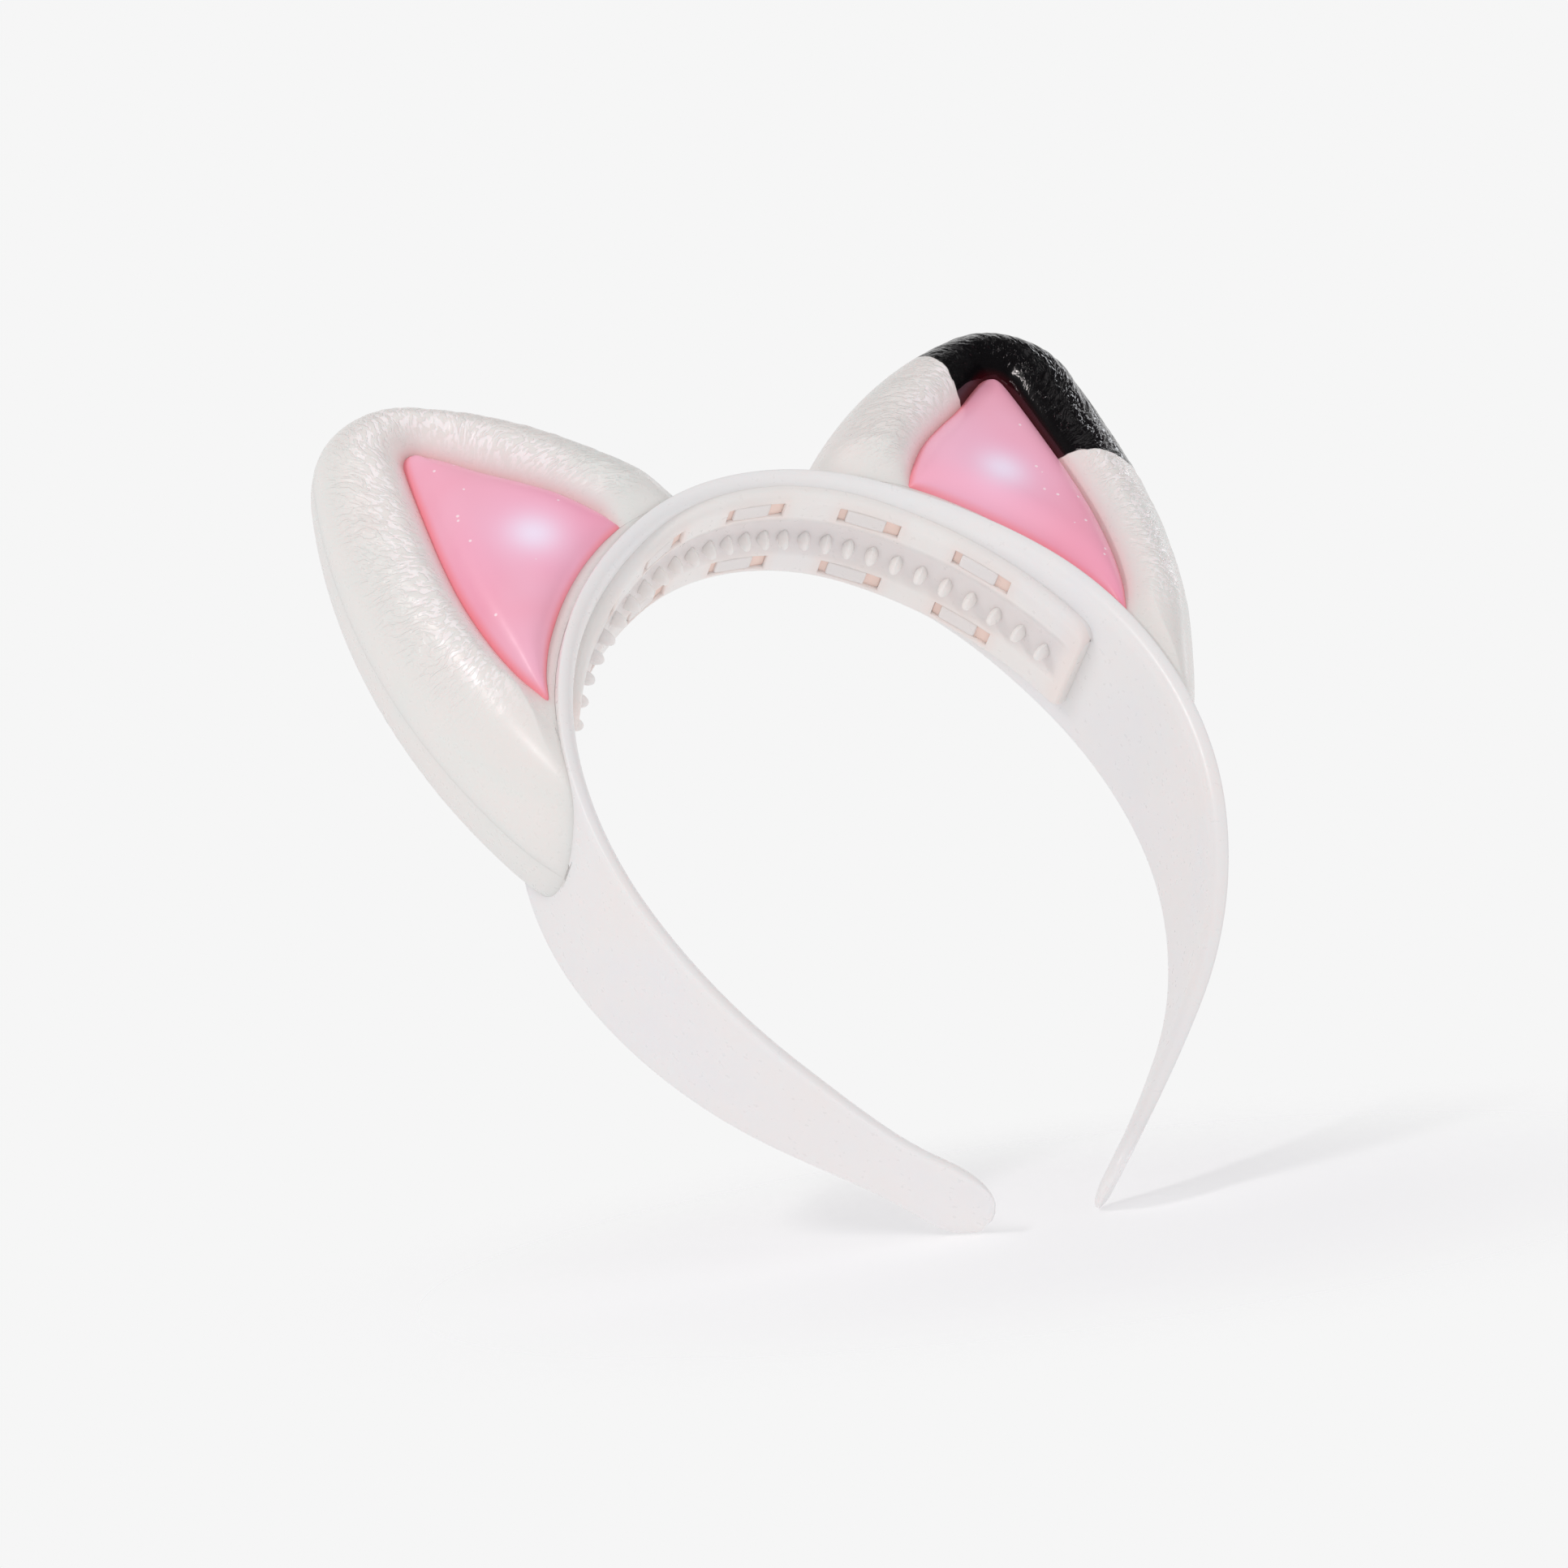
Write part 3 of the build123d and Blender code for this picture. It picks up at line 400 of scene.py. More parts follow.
def resample(p, n):
    gaps = np.hypot(*np.diff(p, axis=0).T)
    run = np.concatenate([[0], np.cumsum(gaps)])
    at = np.linspace(0, run[-1], n)
    return np.stack([np.interp(at, run, p[:, 0]), np.interp(at, run, p[:, 1])], 1)


def run_length(p):
    return np.concatenate([[0], np.cumsum(np.hypot(*np.diff(p, axis=0).T))])


def nearest(points, line, chunk=4000):
    """Distance from each point to a polyline, and the place along it (segment index)."""
    a, b = line[:-1], line[1:]
    ab = b - a
    sq = np.maximum((ab**2).sum(1), 1e-12)
    dist, place = np.empty(len(points)), np.empty(len(points))
    for k in range(0, len(points), chunk):
        p = points[k:k + chunk, None, :]
        t = np.clip(((p - a) * ab).sum(2) / sq, 0, 1)
        d = np.sqrt((((a + t[..., None] * ab) - p)**2).sum(2))
        i = d.argmin(1)
        dist[k:k + chunk] = d[np.arange(len(i)), i]
        place[k:k + chunk] = i + t[np.arange(len(i)), i]
    return dist, place


# ear plane coordinates: x, and height from the crown's middle surface
_s = np.linspace(0, 150, 601)
_x, _z, _ = band_at(_s, HALF + 0.06)
BASE_LINE = np.stack([_x, _z - CROWN], 1)
OUTLINE = arcs_from((11.0, 1.0), 53.0, [(92.0, 34.0), (17.0, 96.0), (122.0, 40.0), (46.0, 15.0)])
_gap = nearest(OUTLINE, BASE_LINE)[0]
_cut = max(k for k in range(len(OUTLINE)) if OUTLINE[k, 0] > 55 and _gap[k] > 0.3)
FREE = np.array([50.0, -10.0]) + (OUTLINE[:_cut + 1] - np.array([50.0, -10.0])) * 0.999
END_S = _s[nearest(FREE[-1:], BASE_LINE)[0:2][1].astype(int)[0]]
START_S = 11.3
BASE = np.stack([band_at(np.linspace(END_S, START_S, 200), HALF + 0.06)[0],
                 band_at(np.linspace(END_S, START_S, 200), HALF + 0.06)[1] - CROWN], 1)
TIP = int(np.argmin(np.hypot(FREE[:, 0] - 68.0, FREE[:, 1] - 31.6)))

LENS_IN = [(29.0, -6.2), (31.6, -2.0), (36.5, 4.0), (42.0, 8.6), (48.0, 13.0), (52.4, 16.9), (55.8, 19.9)]
LENS_OUT = [(61.1, 16.8), (61.7, 11.0), (62.4, 2.0), (63.0, -8.0), (63.0, -18.0), (62.0, -28.0),
            (60.2, -36.5), (57.6, -43.5)]
LENS_LOW = [(56.6, -43.8), (54.9, -38.2), (51.5, -31.0), (46.0, -22.6), (40.0, -15.6), (34.2, -10.4), (29.6, -7.2)]


def lens_sides(n_in, n_out, n_low):
    """The lens edge as three runs of points, with small rounded corners between them."""
    a = spline_points(LENS_IN, n_in)
    b = spline_points([LENS_IN[-1], (57.7, 21.0), (59.5, 20.7), (60.6, 19.2)] + LENS_OUT, n_out)
    c = spline_points([LENS_OUT[-1], (57.2, -44.2)] + LENS_LOW + [(29.0, -6.9), LENS_IN[0]], n_low)
    return a, b, c


def front_plane(p):
    """Depth of the lens edge in front of the ear's middle plane."""
    return 13.854 - 0.0955 * p[:, 0] - 0.1533 * p[:, 1]


def fur(run, d, seed):
    """Raised strokes: along the ear from tip to foot, leaning in from the outline."""
    lean = math.radians(33)
    a = run * math.cos(lean) + d * math.sin(lean)
    b = -run * math.sin(lean) + d * math.cos(lean)
    wob = 0.9 * lattice_noise(run / 6.0, d / 5.0, seed + 5)
    strokes = lattice_noise(a / 4.2, (b + wob) / 1.0, seed)
    fine = lattice_noise(a / 2.4 + 31.7, (b + 0.6 * wob) / 0.7 + 11.3, seed + 1)
    broad = lattice_noise(a / 8.0, b / 3.0, seed + 2)
    return 0.5 * strokes + 0.3 * fine + 0.2 * broad, a, b + wob


def ring_loops(n):
    """Matching loops of n points: the ear's outline with its base, and the lens edge."""
    n1, n2 = int(n * 0.31), int(n * 0.37)
    n3 = n - n1 - n2
    outer = [resample(FREE[:TIP + 1], n1 + 1)[:-1], resample(FREE[TIP:], n2 + 1)[:-1],
             resample(BASE, n3 + 1)[:-1]]
    a, b, c = lens_sides(n1 + 1, n2 + 1, n3 + 1)
    return np.concatenate(outer), np.concatenate([a[:-1], b[:-1], c[:-1]])


def front_height(p):
    """How far the front shell stands in front of the middle plane, and the strokes' strength."""
    d = nearest(p, FREE)[0]
    d_base, place = nearest(p, BASE_LINE)
    lens = np.concatenate(lens_sides(160, 160, 160))
    d_lens = nearest(p, np.concatenate([lens, lens[:1]]))[0]
    s_here = _s[np.clip(place.astype(int), 0, len(_s) - 1)]
    edge = front_plane(p)
    low_end = smooth((-48.0 - p[:, 1]) / 20.0)
    tip_end = smooth((p[:, 1] - 4.0) / 24.0)
    radius = 11.5 - 4.5 * low_end - 3.6 * tip_end
    x = np.clip(d / radius, 0, 1)
    shoulder = np.sqrt(np.maximum(1 - (1 - x)**2, 0))
    bulge = 0.6 + 4.2 * smooth(d_base / 9.0) + 1.3 * tip_end
    crest = np.minimum(edge + bulge * (1 - (1 - np.clip(d_lens / 7.0, 0, 1))**2), 18.0)
    high = crest * shoulder
    limit = half_width(s_here) - 0.35 + 1.6 * d_base
    k = 1.2
    high = -k * np.log(np.exp(-high / k) + np.exp(-np.minimum(limit, 60) / k))
    high = np.minimum(np.maximum(high, 0.0), 17.9)
    strength = (smooth((d_lens - 1.6) / 3.2) * smooth((d_base - 1.5) / 6.0) * smooth((p[:, 1] + 52) / 22.0)
                * smooth((p[:, 0] - 14) / 12.0) * smooth((d - 0.2) / 2.5))
    return high, strength, d, d_lens


def crest_band(p, d_lens):
    """Where the rim's crest catches the light: a band beside the lens, along the free sides."""
    middle = 4.9 + 2.3 * smooth((p[:, 0] - 56.0) / 6.0)
    band = 1.6 * np.exp(-((d_lens - middle) / 2.3)**2)
    return np.minimum(band, 1.0) * smooth((p[:, 1] + 50) / 14.0) * smooth((p[:, 0] - 30) / 8.0)


def mirror_x(v, side):
    return v * np.array([side, 1, 1])


def build_front(name, side):
    n, m = 840, 64
    outer, inner = ring_loops(n)
    u = 1 - np.cos(np.linspace(0, math.pi / 2, m))
    u = 0.75 * u + 0.25 * np.linspace(0, 1, m)
    grid = outer[None] * (1 - u[:, None, None]) + inner[None] * u[:, None, None]
    flat = grid.reshape(-1, 2)
    high, strength, d, d_lens = front_height(flat)
    run = np.tile(run_length(np.concatenate([outer, outer[:1]]))[:-1], m)
    height, along_fur, across_fur = fur(run, d, 11 if side > 0 else 47)
    raise_by = 0.26 * strength * height
    free_edge = nearest(flat[:n], FREE)[0] < 0.02
    y = -(high + raise_by)
    y[:n][free_edge] = -0.015
    # a turned-in lip that goes under the lens, and a wall down to the middle plane
    lip_in = inner + (np.array([50.0, -10.0]) - inner) * 0.012
    lip_y = y[-n:]
    verts = [np.stack([flat[:, 0], y, flat[:, 1] + CROWN], 1)]
    verts.append(np.stack([lip_in[:, 0], lip_y + 0.25, lip_in[:, 1] + CROWN], 1))
    verts.append(np.stack([lip_in[:, 0], lip_y + 2.4, lip_in[:, 1] + CROWN], 1))
    wall = np.stack([outer[:, 0], np.where(free_edge, 0.0, -0.02), outer[:, 1] + CROWN], 1)
    centre = np.array([[56.0, 0.0, -14.0 + CROWN]])
    wall_in = wall + (centre - wall) * 0.02
    verts = [wall_in, wall] + verts
    attrs = {"lens_gap": np.concatenate([np.full(2 * n, 20.0), d_lens, np.zeros(2 * n)]),
             "fur_along": np.concatenate([np.zeros(2 * n), along_fur, np.zeros(2 * n)]),
             "fur_across": np.concatenate([np.zeros(2 * n), across_fur, np.zeros(2 * n)]),
             "fur_depth": np.concatenate([np.zeros(2 * n), strength, np.zeros(2 * n)]),
             "crest": np.concatenate([np.zeros(2 * n), crest_band(flat, d_lens), np.zeros(2 * n)])}
    verts = mirror_x(np.concatenate(verts), side)
    faces = grid_faces(m + 4, n, wrap=True, flip=side < 0)
    return make(name, verts, faces, attrs)


def build_lens(name, side):
    m = 34
    a, b, c = lens_sides(91, 121, 91)
    edge = np.concatenate([a[:-1], b[:-1], c[:-1]])
    n = len(edge)
    centre = np.array([50.0, -9.0])
    u = np.linspace(0, 1, m)**1.5
    u[-1] = 0.985
    grid = edge[None] * (1 - u[:, None, None]) + centre * u[:, None, None]
    flat = grid.reshape(-1, 2)
    d = nearest(flat, np.concatenate([edge, edge[:1]]))[0]
    power = 1.7
    reach = sum(np.maximum(nearest(flat, side_run)[0], 0.02)**-power for side_run in (a, b, c))
    dome = 4.8 * (1 - (1 - np.clip(reach**(-1 / power) / 6.0, 0, 1))**2.1)
    y = -(front_plane(flat) - 0.15 + dome)
    y[:n] += 0.35
    flat = flat.copy()
    flat[:n] += (centre - flat[:n]) * -0.006
    verts = np.stack([flat[:, 0], y, flat[:, 1] + CROWN], 1)
    skirt = verts[:n] + np.array([0, 1.3, 0])
    hub = np.array([[centre[0], y[-n:].mean(), centre[1] + CROWN]])
    verts = np.concatenate([skirt, verts, hub])
    faces = [tuple(q) for q in grid_faces(m + 1, n, wrap=True, flip=side < 0)]
    last = m * n
    for k in range(n):
        tri = (last + k, last + (k + 1) % n, len(verts) - 1)
        faces.append(tri[::-1] if side < 0 else tri)
    glow = np.exp(-((flat[:, 0] - 46.8)**2 + (flat[:, 1] + 7.6)**2) / (2 * 3.3**2))
    halo = np.exp(-((flat[:, 0] - 46.8)**2 + (flat[:, 1] + 7.6)**2) / (2 * 9.0**2))
    attrs = {"edge_gap": np.concatenate([np.zeros(n), d, [13.0]]),
             "glow": np.concatenate([np.zeros(n), glow, glow[-1:]]),
             "halo": np.concatenate([np.zeros(n), halo, halo[-1:]])}
    return make(name, mirror_x(verts, side), faces, attrs)


def build_back(name, side, cutters):
    m = 40
    outer = np.concatenate([resample(FREE, 300)[:-1], resample(BASE, 122)[:-1]])
    n = len(outer)
    centre = np.array([57.0, -12.0])
    u = 1 - np.cos(np.linspace(0, math.pi / 2, m))
    u = 0.85 * u + 0.15 * np.linspace(0, 1, m)
    u[-1] = 0.985
    flat = (outer[None] * (1 - u[:, None, None]) + centre * u[:, None, None]).reshape(-1, 2)
    d = nearest(flat, FREE)[0]
    d_base, place = nearest(flat, BASE_LINE)
    x = np.clip(d / 7.6, 0, 1)
    high = 14.0 * np.sqrt(np.maximum(1 - (1 - x)**2.1, 0))
    limit = half_width(_s[np.clip(place.astype(int), 0, len(_s) - 1)]) + 1.3 * d_base - 0.6
    high = np.minimum(high, np.minimum(limit, 14.0))
    run = np.tile(run_length(np.concatenate([outer, outer[:1]]))[:-1], m)
    strength = (smooth((d - 0.3) / 2.0) * smooth((d_base - 1.5) / 5.0) * smooth((flat[:, 1] + 56) / 20.0)
                * smooth((7.0 - d) / 3.0))
    height, along_fur, across_fur = fur(run, d, 23)
    y = high + 0.2 * strength * (height - 0.4)
    y = np.maximum(y, 0.03)
    y[:n] = 0.02
    verts = [np.stack([outer[:, 0], np.zeros(n), outer[:, 1] + CROWN], 1)]
    verts[0][:, :] += (np.array([centre[0], 0, centre[1] + CROWN]) - verts[0]) * 0.02
    verts[0][:, 1] = 0.004
    verts.append(np.stack([flat[:, 0], y, flat[:, 1] + CROWN], 1))
    hub = [[centre[0], 14.0, centre[1] + CROWN], [centre[0], 0.004, centre[1] + CROWN]]
    verts = mirror_x(np.concatenate(verts + [hub]), side)
    faces = [tuple(q) for q in grid_faces(m + 1, n, wrap=True, flip=side > 0)]
    top, bottom, last = len(verts) - 2, len(verts) - 1, m * n
    for k in range(n):
        up = (last + k, last + (k + 1) % n, top)
        down = ((k + 1) % n, k, bottom)
        faces.append(up[::-1] if side > 0 else up)
        faces.append(down[::-1] if side > 0 else down)
    attrs = {key: np.concatenate([np.zeros(n), values, np.zeros(2)]) for key, values in
             (("fur_along", along_fur), ("fur_across", across_fur), ("fur_depth", strength))}
    obj = make(name, verts, faces, attrs)
    fix_normals(obj)
    for cutter in cutters:
        cut = obj.modifiers.new("cut", "BOOLEAN")
        cut.operation = "DIFFERENCE"
        cut.solver = "MANIFOLD"
        cut.object = cutter
    bpy.context.view_layer.update()
    done = bpy.data.meshes.new_from_object(obj.evaluated_get(bpy.context.evaluated_depsgraph_get()))
    assert len(done.polygons) > 10000, name
    obj.modifiers.clear()
    old = obj.data
    obj.data = done
    bpy.data.meshes.remove(old)
    for cutter in cutters:
        mesh = cutter.data
        bpy.data.objects.remove(cutter)
        bpy.data.meshes.remove(mesh)
    sharpen(obj, 38)
    return obj


def sharpen(obj, degrees):
    """Smooth shading with creases kept above an angle."""
    mesh = obj.data
    mesh.polygons.foreach_set("use_smooth", [True] * len(mesh.polygons))
    bm = bmesh.new()
    bm.from_mesh(mesh)
    for e in bm.edges:
        e.smooth = len(e.link_faces) != 2 or e.calc_face_angle(0.0) < math.radians(degrees)
    bm.to_mesh(mesh)
    bm.free()


def cutter_prism(loop, y0, y1, side):
    """A closed prism along Y from a loop of (x, height from the crown) points."""
    loop = np.array(loop)
    n = len(loop)
    a = np.stack([loop[:, 0], np.full(n, y0), loop[:, 1] + CROWN], 1)
    b = a.copy()
    b[:, 1] = y1
    verts = mirror_x(np.concatenate([a, b]), side)
    faces = [tuple(q) for q in grid_faces(2, n, wrap=True)] + [tuple(range(n)), tuple(range(2 * n - 1, n - 1, -1))]
    mesh = bpy.data.meshes.new("cutter")
    mesh.from_pydata([tuple(v) for v in verts * MM], [], [tuple(map(int, f)) for f in faces])
    bm = bmesh.new()
    bm.from_mesh(mesh)
    bmesh.ops.recalc_face_normals(bm, faces=bm.faces)
    bm.to_mesh(mesh)
    bm.free()
    obj = bpy.data.objects.new("cutter", mesh)
    bpy.context.collection.objects.link(obj)
    return obj


def round_loop(cx, cz, r, n=36):
    t = np.linspace(0, 2 * math.pi, n, endpoint=False)
    return np.stack([cx + r * np.cos(t), cz + r * np.sin(t)], 1)


def rect_loop(cx, cz, w, h, r, n=7):
    loop = []
    for sx, sz, start in ((1, 1, 0), (-1, 1, 90), (-1, -1, 180), (1, -1, 270)):
        for k in range(n):
            t = math.radians(start + 90 * k / (n - 1))
            loop.append((cx + sx * (w / 2 - r) + r * math.cos(t), cz + sz * (h / 2 - r) + r * math.sin(t)))
    return loop


def screw_cutters(side):
    out = []
    for x, z in ((66.5, 19.0), (64.2, -46.0)):
        out.append(cutter_prism(round_loop(x, z, 2.2), 12.0, 16.0, side))
        out.append(cutter_prism(round_loop(x, z, 1.3, 24), 5.0, 12.5, side))
    return out


def battery_cutters():
    return screw_cutters(1) + [
        cutter_prism(rect_loop(63.5, -13.6, 17.6, 30.6, 3.3), 12.95, 16.0, 1),
        cutter_prism(rect_loop(63.5, -11.0, 13.2, 21.0, 0.4), -1.0, 13.5, 1),
        cutter_prism(round_loop(63.5, -26.2, 1.2, 24), 6.0, 13.5, 1)]


def switch_cutters():
    return screw_cutters(-1) + [cutter_prism(round_loop(63.5, -11.0, 3.9, 48), 8.0, 16.0, -1)]


band = build_headband()
cover = build_cover()
left_front = build_front("left_ear_front", 1)
right_front = build_front("right_ear_front", -1)
left_lens = build_lens("left_lens_dome", 1)
right_lens = build_lens("right_lens_dome", -1)
left_back = build_back("left_ear_back", 1, battery_cutters())
right_back = build_back("right_ear_back", -1, switch_cutters())
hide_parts("headband")
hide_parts("comb_cover")
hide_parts("left_ear_front_shell")
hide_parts("right_ear_front_shell")
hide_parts("left_ear_lens")
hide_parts("right_ear_lens")
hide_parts("left_ear_back_shell")
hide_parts("right_ear_back_shell")


# ------------------------------------------------------------------ materials
class Nodes:
    """A material's node tree, with short calls to add and link nodes."""

    def __init__(self, name):
        self.mat = bpy.data.materials.new(name)
        self.mat.use_nodes = True
        self.tree = self.mat.node_tree
        self.bsdf = self.tree.nodes["Principled BSDF"]
        self.out = self.tree.nodes["Material Output"]
        self.place = self.add("ShaderNodeTexCoord").outputs["Object"]

    def add(self, kind):
        return self.tree.nodes.new(kind)

    def link(self, a, b):
        self.tree.links.new(a, b)

    def put(self, **values):
        for key, value in values.items():
            self.bsdf.inputs[key.replace("_", " ").title()].default_value = value

    def noise(self, scale, detail=3.0, rough=0.5, warp=0.0, vector=None):
        node = self.add("ShaderNodeTexNoise")
        node.inputs["Scale"].default_value = scale
        node.inputs["Detail"].default_value = detail
        node.inputs["Roughness"].default_value = rough
        node.inputs["Distortion"].default_value = warp
        self.link(vector or self.place, node.inputs["Vector"])
        return node.outputs["Fac"]

    def ramp(self, source, stops, mode="LINEAR"):
        node = self.add("ShaderNodeValToRGB")
        node.color_ramp.interpolation = mode
        items = node.color_ramp.elements
        while len(items) < len(stops):
            items.new(0.5)
        for item, (at, colour) in zip(items, stops):
            item.position = at
            item.color = (*colour, 1.0)
        self.link(source, node.inputs["Fac"])
        return node.outputs["Color"]

    def span(self, source, low, high, to_low=0.0, to_high=1.0, kind="LINEAR"):
        node = self.add("ShaderNodeMapRange")
        node.interpolation_type = kind
        for key, value in zip(("From Min", "From Max", "To Min", "To Max"), (low, high, to_low, to_high)):
            node.inputs[key].default_value = value
        self.link(source, node.inputs["Value"])
        return node.outputs["Result"]

    def math(self, kind, a, b=None):
        node = self.add("ShaderNodeMath")
        node.operation = kind
        for socket, value in zip(node.inputs, (a, b)):
            if value is None:
                continue
            if isinstance(value, (int, float)):
                socket.default_value = value
            else:
                self.link(value, socket)
        return node.outputs["Value"]

    def mix(self, fac, a, b, kind="MIX"):
        node = self.add("ShaderNodeMix")
        node.data_type = "RGBA"
        node.blend_type = kind
        sockets = [s for s in node.inputs if s.type == "RGBA"]
        for socket, value in zip(sockets, (a, b)):
            if isinstance(value, tuple):
                socket.default_value = (*value, 1.0)
            else:
                self.link(value, socket)
        if isinstance(fac, float):
            node.inputs["Factor"].default_value = fac
        else:
            self.link(fac, node.inputs["Factor"])
        return [s for s in node.outputs if s.type == "RGBA"][0]

    def attr(self, name):
        node = self.add("ShaderNodeAttribute")
        node.attribute_name = name
        return node.outputs["Fac"]

    def colour(self, source):
        self.link(source, self.bsdf.inputs["Base Color"])

    def rough(self, source):
        self.link(source, self.bsdf.inputs["Roughness"])

    def bump(self, source, depth, strength=1.0):
        node = self.add("ShaderNodeBump")
        node.inputs["Distance"].default_value = depth
        node.inputs["Strength"].default_value = strength
        self.link(source, node.inputs["Height"])
        self.link(node.outputs["Normal"], self.bsdf.inputs["Normal"])


def rgb(r, g, b):
    """sRGB bytes to linear."""
    out = []
    for c in (r, g, b):
        c /= 255
        out.append(c / 12.92 if c <= 0.04045 else ((c + 0.055) / 1.055)**2.4)
    return tuple(out)


def pearl(name, tones, rough=(0.26, 0.38)):
    """Satin pearl plastic: slow pink and blue mottling, fine mica sparkle."""
    n = Nodes(name)
    slow = n.noise(42.0, 3.0, 0.55, 0.6)
    colour = n.ramp(slow, [(0.28, rgb(*tones[0])), (0.5, rgb(*tones[1])), (0.72, rgb(*tones[2]))])
    mica = n.noise(2600.0, 1.0, 0.5)
    spark = n.span(mica, 0.60, 0.74)
    n.colour(n.mix(n.math("MULTIPLY", spark, 0.12), colour, rgb(252, 246, 244)))
    n.rough(n.span(n.noise(700.0, 3.0, 0.6), 0.3, 0.7, rough[0], rough[1]))
    n.bump(n.noise(420.0, 2.0, 0.5), 0.00003, 0.35)
    n.put(Specular_Tint=(1.0, 0.93, 0.94, 1.0), Subsurface_Weight=0.18, Subsurface_Scale=0.004,
          Coat_Weight=0.12, Coat_Roughness=0.22)
    n.bsdf.inputs["Subsurface Radius"].default_value = (1.0, 0.62, 0.6)
    return n


band_mat = pearl("pearl_band", [(241, 239, 240), (243, 240, 239), (244, 239, 237)])
tone = band_mat.bsdf.inputs["Base Color"].links[0].from_socket
# painted light: coral tint on the window pads and bars, a painted warm glow that lightens the shaded holes
band_mat.colour(band_mat.mix(band_mat.attr("painted_hole_glow"), tone, rgb(249, 218, 206)))
cover_mat = pearl("pearl_cover", [(241, 237, 236), (243, 239, 236), (244, 238, 234)])
tone = cover_mat.bsdf.inputs["Base Color"].links[0].from_socket
# painted light: warm glow round the windows and at the cover's ends
tone = cover_mat.mix(cover_mat.math("MULTIPLY", cover_mat.attr("painted_glow"), 0.35), tone, rgb(248, 224, 216))
# painted shade: darker, pinker tone in the trough
tone = cover_mat.mix(cover_mat.math("MULTIPLY", cover_mat.attr("trough"), 0.45), tone, rgb(221, 210, 210))
cover_mat.colour(tone)


def add_fur(n, depth, cap=None):
    """Fine raised strokes on top of the modelled ones, as a bump over the grain."""
    join = n.add("ShaderNodeCombineXYZ")
    n.link(n.math("MULTIPLY", n.attr("fur_along"), 0.42), join.inputs["X"])
    n.link(n.math("MULTIPLY", n.attr("fur_across"), 1.5), join.inputs["Y"])
    strokes = n.noise(1.0, 1.5, 0.5, 0.5, join.outputs["Vector"])
    shaped = n.span(strokes, 0.42, 0.6, 0.0, 1.0, "SMOOTHSTEP")
    height = n.math("MULTIPLY", shaped, n.attr("fur_depth"))
    if cap is not None:
        height = n.math("MULTIPLY", height, n.span(cap, 0.0, 1.0, 1.0, 2.5))
    node = n.add("ShaderNodeBump")
    node.inputs["Distance"].default_value = depth
    n.link(height, node.inputs["Height"])
    n.link(n.bsdf.inputs["Normal"].links[0].from_socket, node.inputs["Normal"])
    n.link(node.outputs["Normal"], n.bsdf.inputs["Normal"])
    return shaped


def add_black_cap(n):
    """Black gloss paint over the tip, with a slightly wavy edge."""
    split = n.add("ShaderNodeSeparateXYZ")
    n.link(n.place, split.inputs["Vector"])
    x, z = split.outputs["X"], split.outputs["Z"]

    def side(a, b, c):
        total = n.math("ADD", n.math("MULTIPLY", x, a), n.math("MULTIPLY", z, b))
        return n.math("SUBTRACT", total, c * MM + b * CROWN * MM)

    reach = n.math("MINIMUM", side(0.94, 0.342, 51.3), side(0.339, 0.941, 19.4))
    wave = n.span(n.noise(320.0, 2.0, 0.5), 0.3, 0.7, -0.0003, 0.0003)
    return n.span(n.math("ADD", reach, wave), -0.00012, 0.00012)


def near_lens(n, colour):
    """Pink light bleeding into the shell beside the lens."""
    gap = n.attr("lens_gap")
    bleed = n.span(gap, 0.0, 2.0, 0.22, 0.0, "SMOOTHSTEP")
    return n.mix(bleed, colour, rgb(246, 190, 190))


EAR_TONES = [(235, 235, 231), (239, 235, 231), (241, 234, 230)]


def ear_material(name, cap):
    n = pearl(name, EAR_TONES, (0.25, 0.37))
    colour = n.bsdf.inputs["Base Color"].links[0].from_socket
    rough = n.bsdf.inputs["Roughness"].links[0].from_socket
    colour = near_lens(n, colour)
    mask = add_black_cap(n) if cap else None
    strokes = add_fur(n, 0.0001, mask)
    # painted highlight: pale streaks where the strokes cross the crest band, where the key light's highlight falls,
    # with a little less roughness
    painted_crest_highlight = n.math("MULTIPLY", n.span(strokes, 0.35, 0.6), n.attr("crest"))
    colour = n.mix(painted_crest_highlight, colour, rgb(255, 247, 246))
    rough = n.math("SUBTRACT", rough, n.math("MULTIPLY", painted_crest_highlight, 0.1))
    if cap:
        # painted light: the black paint turns maroon within 1.6 mm of the lens, a painted pink glow from the lens
        # on the black
        black_with_lens_glow = n.mix(n.span(n.attr("lens_gap"), 0.0, 1.6, 0.4, 0.0, "SMOOTHSTEP"), rgb(13, 12, 14), rgb(96, 12, 26))
        colour = n.mix(mask, colour, black_with_lens_glow)
        node = n.add("ShaderNodeMix")
        n.link(mask, node.inputs["Factor"])
        n.link(rough, node.inputs["A"])
        node.inputs["B"].default_value = 0.07
        rough = node.outputs["Result"]
    n.colour(colour)
    n.rough(rough)
    return n.mat


def back_material(name, cap):
    n = pearl(name, EAR_TONES, (0.25, 0.37))
    mask = add_black_cap(n) if cap else None
    add_fur(n, 0.0001, mask)
    if cap:
        colour = n.bsdf.inputs["Base Color"].links[0].from_socket
        rough = n.bsdf.inputs["Roughness"].links[0].from_socket
        n.colour(n.mix(mask, colour, rgb(13, 12, 14)))
        node = n.add("ShaderNodeMix")
        n.link(mask, node.inputs["Factor"])
        n.link(rough, node.inputs["A"])
        node.inputs["B"].default_value = 0.16
        n.rough(node.outputs["Result"])
    return n.mat


